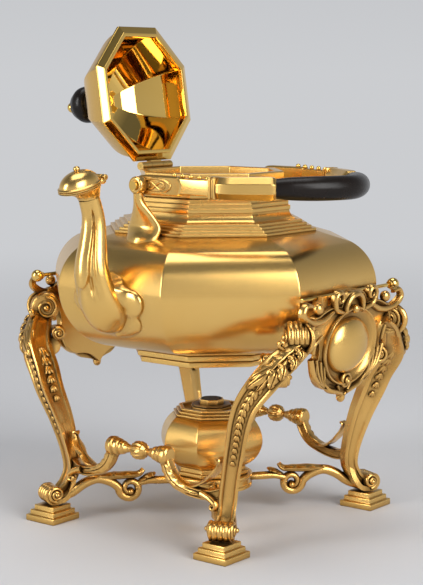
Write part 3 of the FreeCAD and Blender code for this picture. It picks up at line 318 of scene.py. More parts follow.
def softened(points: Line | Sequence[Step], radius: float, loop: bool = True) -> Line:
    """An outline whose sharp corners are rounded off.

    Args:
        points: the outline.
        radius: how far from a corner its rounding begins.
        loop: the outline closes on itself.

    Returns:
        The rounded outline.
    """
    drawn = np.asarray(points, float)
    found = []
    count = len(drawn)
    for number, corner in enumerate(drawn):
        before, after = drawn[number - 1] - corner, drawn[(number + 1) % count] - corner
        lengths = np.linalg.norm(before), np.linalg.norm(after)
        is_end = not loop and number in (0, count - 1)
        if is_end or min(lengths) < TINY or -np.dot(before, after) / (lengths[0] * lengths[1]) > STRAIGHT:
            found.append(corner)
            continue
        cut = min(radius, CUT_SHARE * min(lengths))
        first, last = corner + before / lengths[0] * cut, corner + after / lengths[1] * cut
        found += [first * (1 - t) ** 2 + corner * 2 * t * (1 - t) + last * t ** 2 for t in ROUNDING]
    return np.array(found)


def spline(places: Sequence[Sequence[float]], steps: int) -> Line:
    """A smooth line through places, which carries further columns such as widths along.

    Args:
        places: rows of any number of columns.
        steps: points from one place to the next.

    Returns:
        Rows with the same columns, through to the last place.
    """
    known = np.asarray(places, float)
    padded = np.vstack([2 * known[0] - known[1], known, 2 * known[-1] - known[-2]])
    rows = []
    for number in range(len(known) - 1):
        a, b, c, d = padded[number:number + 4]
        for t in np.linspace(0, 1, steps, endpoint=False):
            bend = (2 * a - 5 * b + 4 * c - d) * t ** 2 + (3 * b - a - 3 * c + d) * t ** 3
            rows.append(b + 0.5 * ((c - a) * t + bend))
    return np.array(rows + [known[-1]])


def curled(path: Line, radius: float, turns: float, hand: int, eye: float = 0.2) -> Line:
    """A flat path carried on into a spiral at its end.

    Args:
        path: rows of u and v.
        radius: the spiral's first radius.
        turns: how many times it winds.
        hand: 1 winds to the left, -1 to the right.
        eye: the last radius as a share of the first.

    Returns:
        The path with its spiral.
    """
    heading = unit(path[-1] - path[-2])
    normal = hand * np.array([-heading[1], heading[0]])
    steps = int(SPIRAL_POINTS * turns)
    wound = hand * math.tau * turns * np.arange(1, steps + 1) / steps
    reach = radius * np.linspace(1, eye, steps + 1)[1:]
    spiral = oval(math.atan2(-normal[1], -normal[0]) + wound, reach)
    return np.vstack([path, path[-1] + normal * radius + spiral])


def cut_across(kind: Section, width: float, height: float) -> Line:
    """The points of a section.

    Args:
        kind: which section.
        width: its size across.
        height: its size outwards; the half-round section starts at zero, the others are centred.

    Returns:
        Rows of across and outwards.
    """
    if kind is Section.ROUND:
        return oval(full_turn(ROUND_POINTS), width / 2, height / 2)
    if kind is Section.HALF_ROUND:
        angles = np.linspace(0, math.pi, ARCH_POINTS)
        arch = np.stack([width / 2 * np.cos(angles), height * np.sin(angles) ** ARCH_FULLNESS], axis=1)
        return np.vstack([arch, [(-width / 2, -ARCH_SUNK), (width / 2, -ARCH_SUNK)]])
    corners = np.array([(1, -1), (1, 1), (-1, 1), (-1, -1)]) / 2
    return softened(corners * (width, height), BLOCK_CORNER * min(width, height))


def framed(path: Line, outward: Sequence[float] | Line) -> tuple[Line, Line]:
    """The outward ways along a path, squared to it, and the ways across it.

    Args:
        path: rows of x, y and z.
        outward: the outward way, once or for each row.

    Returns:
        Both ways for each row.
    """
    ways = unit(np.gradient(path, axis=0))
    facing = np.broadcast_to(np.asarray(outward, float), path.shape)
    out = unit(facing - ways * np.sum(facing * ways, axis=1, keepdims=True))
    return out, np.cross(ways, out)


def swept(path: Line, sections: Sequence[Line], outward: Sequence[float] | Line,
          order: Sequence[int] | None = None) -> Form:
    """A bar along a path.

    Args:
        path: rows of x, y and z.
        sections: the cuts' points as across and outwards.
        outward: the way the outward side of the cuts faces, once or for each row.
        order: the path's row for each cut, if they aren't simply one for each row.

    Returns:
        The bar, closed at both ends.
    """
    out, side = framed(path, outward)
    cuts = np.array(sections)
    stops = np.arange(len(path)) if order is None else np.array(order)
    return skin(path[stops, None] + side[stops, None] * cuts[..., :1] + out[stops, None] * cuts[..., 1:])


def scroll(board: Board, drawn: Line, kind: Section, sizes: Sequence[Pair],
           lift: float = 0.0) -> Form:
    """A bar along a line drawn on a board.

    Args:
        board: where it is drawn.
        drawn: rows of u and v.
        kind: the bar's section.
        sizes: widths and heights, spread evenly from the line's start to its end.
        lift: how far the bar lies above the board.

    Returns:
        The bar.
    """
    lengths = np.concatenate([[0], np.cumsum(np.linalg.norm(np.diff(drawn, axis=0), axis=1))])
    share = lengths / lengths[-1] * (len(sizes) - 1)
    widths, heights = (np.interp(share, np.arange(len(sizes)), column) for column in zip(*sizes))
    cuts = [cut_across(kind, wide, high) for wide, high in zip(widths, heights)]
    return swept(board.place(at_height(drawn, lift)), cuts, board.w)


def octagon(radius: float, rounding: float) -> Line:
    """An octagon with softly rounded corners and flat sides, as x and y.

    Args:
        radius: from the middle to a corner before it is rounded.
        rounding: the radius of the rounding.

    Returns:
        Rows of x and y, once round.
    """
    soft = min(rounding, CORNER_SHARE * radius)
    reach = radius - soft / TO_SIDE
    turns, slips = np.radians(CORNER_TURNS), soft * np.array(CORNER_SLIPS)
    rows = []
    for number in range(SIDES):
        middle = math.pi / SIDES * (2 * number + 1)
        angles = middle + turns
        rows.append(np.stack([
            reach * math.cos(middle) + soft * np.cos(angles) - slips * np.sin(angles),
            reach * math.sin(middle) + soft * np.sin(angles) + slips * np.cos(angles),
        ], axis=1))
    return np.vstack(rows)


def octagonal(profile: Line, rounding: float, loop: bool = True) -> Form:
    """An eight-sided form from an outline of corner radius and height."""
    rows = [at_height(octagon(radius, rounding), height) for radius, height in profile]
    return skin(np.array(rows), loop=loop)


def round_form(profile: Line, count: int, loop: bool = False) -> Form:
    """A turned form about the z axis from an outline of radius and height."""
    rows = [at_height(oval(full_turn(count), radius), height) for radius, height in profile]
    return skin(np.array(rows), loop=loop)


def ball(centre: Sequence[float], radii: float | Sequence[float], count: int = 24) -> Form:
    """A ball, or an egg with three radii."""
    form = round_form(oval(np.linspace(-math.pi / 2, math.pi / 2, count // 2 + 1)), count)
    return Form(form.points * np.asarray(radii, float), form.faces).moved(centre)


def ring(bore: float, radius: float, length: float, soft: float) -> Form:
    """A ring about z, from z = 0 up, with soft edges."""
    profile = [(bore, 0.0), (radius, 0.0), (radius, length), (bore, length)]
    return round_form(softened(profile, soft), RING_POINTS, loop=True)


def rod(start: Sequence[float], end: Sequence[float], radius: float, soft: float = 0.2) -> Form:
    """A round rod between two points, with soft ends.

    Args:
        start: the middle of one end.
        end: the middle of the other end.
        radius: the rod's radius.
        soft: the rounding of its ends.

    Returns:
        The rod.
    """
    way = Vector(end) - Vector(start)
    profile = [(0.0, 0.0), (radius, 0.0), (radius, way.length), (0.0, way.length)]
    form = round_form(softened(profile, soft, loop=False), ROD_POINTS)
    turn = np.array(way.to_track_quat("Z", "Y").to_matrix())
    return Form(form.points @ turn.T + np.asarray(start, float), form.faces)


def slab(board: Board, drawn: Line, depth: float, soft: float) -> Form:
    """A plate of a drawn outline, from w = 0 to its depth, with soft edges.

    Args:
        board: where it is drawn.
        drawn: the outline as u and v, to the left round.
        depth: its thickness.
        soft: how far its edges are rounded.

    Returns:
        The plate.
    """
    ways = unit(np.roll(drawn, -1, axis=0) - np.roll(drawn, 1, axis=0))
    inner = drawn + soft * np.stack([-ways[:, 1], ways[:, 0]], axis=1)
    levels = (inner, 0.0), (drawn, soft), (drawn, depth - soft), (inner, depth)
    return skin(board.place(np.array([at_height(line, height) for line, height in levels])))


def stepped_square(centre: Sequence[float], side: float, step: float, heights: Sequence[float],
                   soft: float) -> Form:
    """A square foot in steps, one above the other.

    Args:
        centre: x and y of its middle.
        side: the lowest step's side.
        step: how far each step goes in.
        heights: the steps' heights from the ground up.
        soft: how far the edges are rounded.

    Returns:
        The foot.
    """
    profile, low, half = [(0.0, 0.0)], 0.0, side / 2
    for height in heights:
        profile += [(half, low), (half, low + height)]
        low, half = low + height, half - step
    corners = np.array([(1, 1), (-1, 1), (-1, -1), (1, -1)], float)
    rows = []
    for reach, height in softened(profile + [(0.0, low)], soft, loop=False):
        square = corners * reach
        square = softened(square, soft) if reach > soft else np.repeat(square, len(ROUNDING), axis=0)
        rows.append(at_height(square + np.asarray(centre), height))
    return skin(np.array(rows))


def leaf(path: Line, outward: Sequence[float] | Line, half_width: float, lobes: int, crown: float) -> Form:
    """A chased leaf along a path.

    Args:
        path: its middle vein from root to tip.
        outward: the way its face looks, once or for each point.
        half_width: half of its greatest width.
        lobes: how many lobes its edges have.
        crown: how far its middle stands above its edges.

    Returns:
        The leaf, closed all round.
    """
    t = np.linspace(0, 1, len(path))[:, None]
    s = np.linspace(-1, 1, LEAF_POINTS)[None, :]
    blade = np.sin(math.pi * (0.12 + 0.86 * t) ** 0.8) ** 0.7  # blunt at the root, pointed at the tip
    lobed = 1 - LEAF_NOTCH + LEAF_NOTCH * np.abs(np.sin(math.pi * lobes * t)) ** 0.6
    width = s * half_width * blade * lobed
    arch = (1 - s ** 2) * np.sin(math.pi * (0.1 + 0.85 * t)) ** 0.5
    vein = LEAF_VEIN[0] * np.exp(-(s / LEAF_VEIN[1]) ** 2)
    ribs = LEAF_RIBS[0] * np.cos(math.tau * lobes * t - LEAF_RIBS[1] * np.abs(s)) * np.abs(s)
    front = np.stack([width, crown * (arch - vein + ribs)], axis=-1)
    back = np.stack([LEAF_BACK * width, np.full_like(width, -LEAF_SHEET)], axis=-1)[:, ::-1]
    return swept(path, np.concatenate([front, back], axis=1), outward)


def snail(board: Board, radius: float, rise: float, wire: float, hand: int, start: float,
          turns: float) -> Form:
    """A coiled volute that rises to its eye.

    Args:
        board: centred on the coil, with w the way it rises.
        radius: of the outer turn.
        rise: from the outer turn to the eye.
        wire: thickness of the outer turn.
        hand: 1 winds to the left, -1 to the right.
        start: angle of its outer end in degrees.
        turns: how many times it winds.

    Returns:
        The coil with the ball in its middle.
    """
    share = np.linspace(0, 1, int(COIL_POINTS * turns))
    angles = math.radians(start) + hand * math.tau * turns * share
    reach = (radius - wire / 2) * (1 - COIL_IN * share)
    drawn = at_height(oval(angles, reach), rise * share ** COIL_RISE)
    wires = wire * (1 - COIL_THIN * share)
    cuts = [cut_across(Section.ROUND, size, size * COIL_DEEP) for size in wires]
    eye = ball((0, 0, rise), COIL_EYE * radius, 16)
    return joined([swept(board.place(drawn), cuts, board.w), board.form(eye)])


Colour = tuple[float, float, float, float]
Link = tuple[bpy.types.Node, "str | int", bpy.types.Node, "str | int"]
Group = tuple[bpy.types.NodeTree, bpy.types.Node, bpy.types.Node]

FACTOR, NUMBER_A, NUMBER_B, COLOUR_A, COLOUR_B = 0, 2, 3, 6, 7  # inputs of a mix node
MIXED_NUMBER, MIXED_COLOUR = 0, 2  # its outputs


def add(tree: bpy.types.NodeTree, kind: str, values: dict | None = None, **settings) -> bpy.types.Node:
    """A new node.

    Args:
        tree: where it goes.
        kind: its type.
        values: of its inputs, by name or number.
        settings: its own settings, made before the values.

    Returns:
        The node.
    """
    node = tree.nodes.new(kind)
    for name, value in settings.items():
        setattr(node, name, value)
    for entry, value in (values or {}).items():
        node.inputs[entry].default_value = value
    return node


def wire_up(tree: bpy.types.NodeTree, links: Sequence[Link]) -> None:
    """Links nodes: each link is a node, its output, another node and that one's input."""
    for source, output, target, entry in links:
        tree.links.new(source.outputs[output], target.inputs[entry])


def new_group(name: str, kind: str, inputs: dict[str, str], outputs: dict[str, str]) -> Group:
    """An empty node group with named sockets.

    Args:
        name: the group's name.
        kind: the type of its tree.
        inputs: each input's socket type by its name.
        outputs: each output's socket type by its name.

    Returns:
        The group with its input and output nodes.
    """
    tree = bpy.data.node_groups.new(name, kind)
    for way, sockets in (("INPUT", inputs), ("OUTPUT", outputs)):
        for label, socket in sockets.items():
            tree.interface.new_socket(label, in_out=way, socket_type="NodeSocket" + socket)
    return tree, add(tree, "NodeGroupInput"), add(tree, "NodeGroupOutput")


@dataclass
class Shades:
    """Shader groups that several finishes share, each built once."""

    samples: int = 8
    cloud_detail: float = 4.0
    mark_detail: float = 2.0
    mark_share: float = 0.35
    hollow_roughness: float = 0.22
    groups: dict[str, bpy.types.NodeTree] = field(default_factory=dict)

    def group(self, name: str) -> bpy.types.NodeTree:
        """A group by its name, built when it is first asked for.

        Args:
            name: hollows, patina (colour drift, with painted shade in the hollows) or marks.

        Returns:
            The node group.
        """
        if name not in self.groups:
            makers = {"hollows": self._hollows, "patina_and_painted_shade": self._patina_and_painted_shade, "marks": self._marks}
            self.groups[name] = makers[name]()
        return self.groups[name]

    def _hollows(self) -> bpy.types.NodeTree:
        """A mask from ambient occlusion, high where the surface lies deep between other surfaces; it places
        the painted shade.

        Returns:
            The node group.
        """
        tree, given, result = new_group("hollows", "ShaderNodeTree", {"Reach": "Float", "Sharpness": "Float"},
                                        {"Mask": "Float"})
        shade = add(tree, "ShaderNodeAmbientOcclusion", samples=self.samples)
        power = add(tree, "ShaderNodeMath", operation="POWER")
        flip = add(tree, "ShaderNodeMath", {0: 1.0}, operation="SUBTRACT")
        wire_up(tree, (
            (given, "Reach", shade, "Distance"), (shade, "AO", power, 0), (given, "Sharpness", power, 1),
            (power, 0, flip, 1), (flip, 0, result, "Mask"),
        ))
        return tree

    def _patina_and_painted_shade(self) -> bpy.types.NodeTree:
        """Colour and roughness that drift over the surface; in its hollows the colour darkens as painted
        shade and the roughness rises.

        Returns:
            The node group.
        """
        tree, given, result = new_group(
            "patina_and_painted_shade", "ShaderNodeTree",
            {"Place": "Vector", "Hollow": "Float", "Bright": "Color", "Dull": "Color", "Painted Shade": "Color",
             "Cloud Scale": "Float", "Smooth": "Float", "Rough": "Float"},
            {"Color": "Color", "Roughness": "Float"},
        )
        cloud = add(tree, "ShaderNodeTexNoise", {"Detail": self.cloud_detail})
        # The second mix paints shade: it darkens the colour towards the deep colour in the hollows.
        drift, paint_shade = (add(tree, "ShaderNodeMix", data_type="RGBA") for _ in range(2))
        rough = add(tree, "ShaderNodeMix", data_type="FLOAT")
        rougher = add(tree, "ShaderNodeMath", {1: self.hollow_roughness}, operation="MULTIPLY_ADD")
        wire_up(tree, (
            (given, "Place", cloud, "Vector"), (given, "Cloud Scale", cloud, "Scale"),
            (cloud, "Fac", drift, FACTOR), (given, "Bright", drift, COLOUR_A),
            (given, "Dull", drift, COLOUR_B), (given, "Hollow", paint_shade, FACTOR),
            (drift, MIXED_COLOUR, paint_shade, COLOUR_A), (given, "Painted Shade", paint_shade, COLOUR_B),
            (cloud, "Fac", rough, FACTOR),
            (given, "Smooth", rough, NUMBER_A), (given, "Rough", rough, NUMBER_B),
            (given, "Hollow", rougher, 0), (rough, MIXED_NUMBER, rougher, 2),
            (paint_shade, MIXED_COLOUR, result, "Color"), (rougher, 0, result, "Roughness"),
        ))
        return tree

    def _marks(self) -> bpy.types.NodeTree:
        """Fine marks of the tool, as a height.

        Returns:
            The node group.
        """
        tree, given, result = new_group("marks", "ShaderNodeTree",
                                        {"Place": "Vector", "Fine": "Float", "Broad": "Float"},
                                        {"Height": "Float"})
        fine = add(tree, "ShaderNodeTexNoise", {"Detail": self.mark_detail})
        broad = add(tree, "ShaderNodeTexNoise")
        total = add(tree, "ShaderNodeMath", {1: self.mark_share}, operation="MULTIPLY_ADD")
        wire_up(tree, (
            (given, "Place", fine, "Vector"), (given, "Fine", fine, "Scale"),
            (given, "Place", broad, "Vector"), (given, "Broad", broad, "Scale"),
            (fine, "Fac", total, 0), (broad, "Fac", total, 2), (total, 0, result, "Height"),
        ))
        return tree


@dataclass(frozen=True)
class Finish:
    """A finish of the object: its colours, with painted shade in its hollows, its smoothness and the marks of
    its making.
    """

    name: str
    slot: str
    bright: Colour
    dull: Colour
    # deep is painted shade: the colour mixed in where the hollows mask is high
    deep: Colour
    smooth: float
    rough: float
    metallic: float = 1.0
    specular: float = 0.5
    # reach and sharpness shape the hollows mask, which places the painted shade and the rougher hollows
    reach: float = 0.004
    sharpness: float = 1.6
    cloud: float = 28.0
    fine: float = 500.0
    broad: float = 50.0
    stretch: Triple = (1.0, 1.0, 1.0)
    bump: float = 0.05
    depth: float = 0.0004

    def material(self, shades: Shades) -> bpy.types.Material:
        """The finish as a node material, made once.

        Args:
            shades: the shared shader groups.

        Returns:
            The material.
        """
        found = bpy.data.materials.get(self.name)
        if found:
            return found
        made = bpy.data.materials.new(self.name)
        made.use_nodes = True
        tree = made.node_tree
        surface = tree.nodes["Principled BSDF"]
        surface.inputs["Metallic"].default_value = self.metallic
        surface.inputs["Specular IOR Level"].default_value = self.specular
        place = add(tree, "ShaderNodeTexCoord")
        mapping = add(tree, "ShaderNodeMapping", {"Scale": self.stretch})
        hollows, patina_and_painted_shade, marks = (
            add(tree, "ShaderNodeGroup", values, node_tree=shades.group(name)) for name, values in (
                ("hollows", {"Reach": self.reach, "Sharpness": self.sharpness}),
                ("patina_and_painted_shade", {"Bright": self.bright, "Dull": self.dull, "Painted Shade": self.deep,
                            "Cloud Scale": self.cloud, "Smooth": self.smooth, "Rough": self.rough}),
                ("marks", {"Fine": self.fine, "Broad": self.broad}),
            ))
        bump = add(tree, "ShaderNodeBump", {"Strength": self.bump, "Distance": self.depth})
        wire_up(tree, (
            (place, "Object", patina_and_painted_shade, "Place"), (place, "Object", mapping, "Vector"),
            (mapping, "Vector", marks, "Place"), (hollows, "Mask", patina_and_painted_shade, "Hollow"),
            (patina_and_painted_shade, "Color", surface, "Base Color"), (patina_and_painted_shade, "Roughness", surface, "Roughness"),
            (marks, "Height", bump, "Height"), (bump, "Normal", surface, "Normal"),
        ))
        return made


# In every finish, deep is the painted shade that darkens its hollows.
GILT_SATIN = Finish(
    name="gilt satin", slot="gilt_satin", bright=(0.92, 0.60, 0.20, 1), dull=(0.84, 0.51, 0.14, 1),
    deep=(0.16, 0.075, 0.016, 1), smooth=0.2, rough=0.29, reach=0.006, sharpness=0.9,
    stretch=(0.6, 0.6, 2.5), fine=420.0, bump=0.03,
)
GILT_BRIGHT = Finish(
    name="gilt bright", slot="gilt_bright", bright=(0.95, 0.64, 0.19, 1), dull=(0.89, 0.55, 0.13, 1),
    deep=(0.14, 0.07, 0.015, 1), smooth=0.03, rough=0.07, reach=0.004, sharpness=0.7, bump=0.012,
)
GILT_CAST = Finish(
    name="gilt cast and chased", slot="gilt_cast", bright=(0.88, 0.54, 0.17, 1), dull=(0.78, 0.44, 0.12, 1),
    deep=(0.05, 0.021, 0.004, 1), smooth=0.2, rough=0.32, reach=0.0045, sharpness=2.4, cloud=60.0,
    fine=900.0, broad=160.0, bump=0.16,
)
# The burner's gilt, darkened all over as painted shade and dark reflection from under the kettle.
SHADED_BURNER_GILT = Finish(
    name="gilt with painted shade", slot="gilt_cast", bright=(0.42, 0.25, 0.09, 1), dull=(0.12, 0.07, 0.03, 1),
    deep=(0.02, 0.012, 0.006, 1), smooth=0.32, rough=0.5, sharpness=2.4, cloud=120.0, fine=900.0, bump=0.12,
)
DARK_WOOD = Finish(
    name="ebonised wood", slot="dark_wood", bright=(0.014, 0.009, 0.007, 1), dull=(0.006, 0.005, 0.004, 1),
    deep=(0.003, 0.002, 0.002, 1), smooth=0.22, rough=0.34, metallic=0.0, specular=0.22, cloud=90.0,
    stretch=(0.12, 1.0, 1.0), fine=700.0, broad=220.0, bump=0.12,
)
COTTON = Finish(
    name="charred cotton wick", slot="wick", bright=(0.09, 0.075, 0.06, 1), dull=(0.03, 0.026, 0.022, 1),
    deep=(0.01, 0.008, 0.006, 1), smooth=0.8, rough=0.95, metallic=0.0, cloud=400.0, fine=2400.0,
    broad=1200.0, bump=0.5,
)


class Bench:
    """Makes pieces from forms, gives them their finish and hands them to the frame."""

    def __init__(self, frame: dict, shades: Shades) -> None:
        """Keeps the loaded frame and the shared shader groups."""
        self.frame = frame
        self.shades = shades

    def mesh(self, name: str, forms: Sequence[Form], crease: float) -> bpy.types.Mesh:
        """A smooth mesh in metres with its normals outwards.

        Args:
            name: the mesh's name.
            forms: what it is made of, in millimetres.
            crease: edges sharper than this many degrees stay sharp.

        Returns:
            The mesh.
        """
        whole = joined(forms)
        mesh = bpy.data.meshes.new(name)
        mesh.from_pydata((whole.points * MM).tolist(), [], whole.faces)
        work = bmesh.new()
        work.from_mesh(mesh)
        bmesh.ops.remove_doubles(work, verts=work.verts, dist=WELD * MM)
        bmesh.ops.recalc_face_normals(work, faces=work.faces)
        work.to_mesh(mesh)
        work.free()
        mesh.polygons.foreach_set("use_smooth", [True] * len(mesh.polygons))
        mesh.set_sharp_from_angle(angle=math.radians(crease))
        return mesh

    def piece(self, name: str, forms: Sequence[Form], finish: Finish, body: str,
              stands_for: Sequence[str] = (), crease: float = 40.0) -> bpy.types.Object:
        """A finished piece that moves with a body.

        Args:
            name: the piece's name.
            forms: what it is made of.
            finish: its finish.
            body: the CAD body it rides on.
            stands_for: the CAD nodes it replaces.
            crease: edges sharper than this many degrees stay sharp.

        Returns:
            The piece.
        """
        made = bpy.data.objects.new(name.replace(" ", "-"), self.mesh(name, forms, crease))
        return self.hand_over(made, finish, body, stands_for)

    def hand_over(self, made: bpy.types.Object, finish: Finish, body: str,
                  stands_for: Sequence[str] = ()) -> bpy.types.Object:
        """Dresses an object and ties it to its body.

        Args:
            made: the object.
            finish: its finish.
            body: the CAD body it rides on.
            stands_for: the CAD nodes it replaces.

        Returns:
            The object.
        """
        bpy.context.scene.collection.objects.link(made)
        self._cover(made, finish)
        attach(made, body)
        if stands_for:
            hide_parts(*stands_for)
        LOG.info("%s: %d faces on %s", made.name, len(made.data.polygons), body)
        return made

    def dress(self, finish: Finish, *nodes: str) -> None:
        """Gives CAD nodes that stay in view a finish."""
        for node in nodes:
            self._cover(self.frame["nodes"][node], finish)

    def _cover(self, shown: bpy.types.Object, finish: Finish) -> None:
        """Makes a finish an object's only material."""
        shown.data.materials.clear()
        shown.data.materials.append(finish.material(self.shades))


@dataclass
class RowMaker:
    """Geometry Nodes that set copies of one form along lines, from a first size to a last."""

    bench: Bench
    crease: float = 50.0
    tree: bpy.types.NodeTree | None = None

    def _build(self) -> bpy.types.NodeTree:
        """The node tree, built once.

        Returns:
            The tree: line, even points, copies turned along the line and outwards, material.
        """
        if self.tree:
            return self.tree
        tree, given, result = new_group(
            "row along a line", "GeometryNodeTree",
            {"Lines": "Geometry", "Form": "Object", "Count": "Int", "First Size": "Float",
             "Last Size": "Float", "Finish": "Material"},
            {"Row": "Geometry"},
        )
        curve, even, copies, form, tangent, share, real, dressed = (
            add(tree, "GeometryNode" + kind) for kind in (
                "MeshToCurve", "ResampleCurve", "InstanceOnPoints", "ObjectInfo", "InputTangent",
                "SplineParameter", "RealizeInstances", "SetMaterial"))
        along = add(tree, "FunctionNodeAlignRotationToVector", axis="Z")
        facing = add(tree, "FunctionNodeAlignRotationToVector", axis="X", pivot_axis="Z")
        outward = add(tree, "GeometryNodeInputNamedAttribute", {"Name": "outward"}, data_type="FLOAT_VECTOR")
        size = add(tree, "ShaderNodeMix", data_type="FLOAT")
        wire_up(tree, (
            (given, "Lines", curve, "Mesh"), (curve, "Curve", even, "Curve"), (given, "Count", even, "Count"),
            (even, "Curve", copies, "Points"), (given, "Form", form, "Object"),
            (form, "Geometry", copies, "Instance"), (tangent, "Tangent", along, "Vector"),
            (along, "Rotation", facing, "Rotation"), (outward, "Attribute", facing, "Vector"),
            (facing, "Rotation", copies, "Rotation"), (share, "Factor", size, FACTOR),
            (given, "First Size", size, NUMBER_A), (given, "Last Size", size, NUMBER_B),
            (size, MIXED_NUMBER, copies, "Scale"), (copies, "Instances", real, "Geometry"),
            (real, "Geometry", dressed, "Geometry"), (given, "Finish", dressed, "Material"),
            (dressed, "Geometry", result, "Row"),
        ))
        self.tree = tree
        return tree

    def row(self, name: str, lines: Sequence[tuple[Line, Line]], form: Form, count: int,
            sizes: Pair, finish: Finish, body: str) -> bpy.types.Object:
        """Copies of a form along lines, as one piece.

        Args:
            name: the piece's name.
            lines: each line's points in millimetres and the outward way at each.
            form: what is repeated, with z along the line and x outwards.
            count: how many copies each line gets.
            sizes: the first and the last copy's scale.
            finish: the piece's finish.
            body: the CAD body it rides on.

        Returns:
            The piece.
        """
        points = np.vstack([line for line, _ in lines]) * MM
        ways = np.vstack([np.broadcast_to(way, line.shape) for line, way in lines])
        edges, start = [], 0
        for line, _ in lines:
            edges += [(start + n, start + n + 1) for n in range(len(line) - 1)]
            start += len(line)
        guide = bpy.data.meshes.new(name + " guide")
        guide.from_pydata(points.tolist(), edges, [])
        guide.attributes.new("outward", "FLOAT_VECTOR", "POINT").data.foreach_set("vector", ways.ravel())
        holder = bpy.data.objects.new(name + " guide", guide)
        pattern = bpy.data.objects.new(name + " pattern",
                                       self.bench.mesh(name + " pattern", [form], self.crease))
        for each in (holder, pattern):
            bpy.context.scene.collection.objects.link(each)
        modifier = holder.modifiers.new("row", "NODES")
        modifier.node_group = self._build()
        values = {"Form": pattern, "Count": count, "First Size": sizes[0], "Last Size": sizes[1],
                  "Finish": finish.material(self.bench.shades)}
        for socket in modifier.node_group.interface.items_tree:
            if socket.name in values:
                modifier[socket.identifier] = values[socket.name]
        ready = holder.evaluated_get(bpy.context.evaluated_depsgraph_get())
        made = bpy.data.objects.new(name.replace(" ", "-"), bpy.data.meshes.new_from_object(ready))
        for each in (holder, pattern):
            bpy.data.objects.remove(each)
        return self.bench.hand_over(made, finish, body)


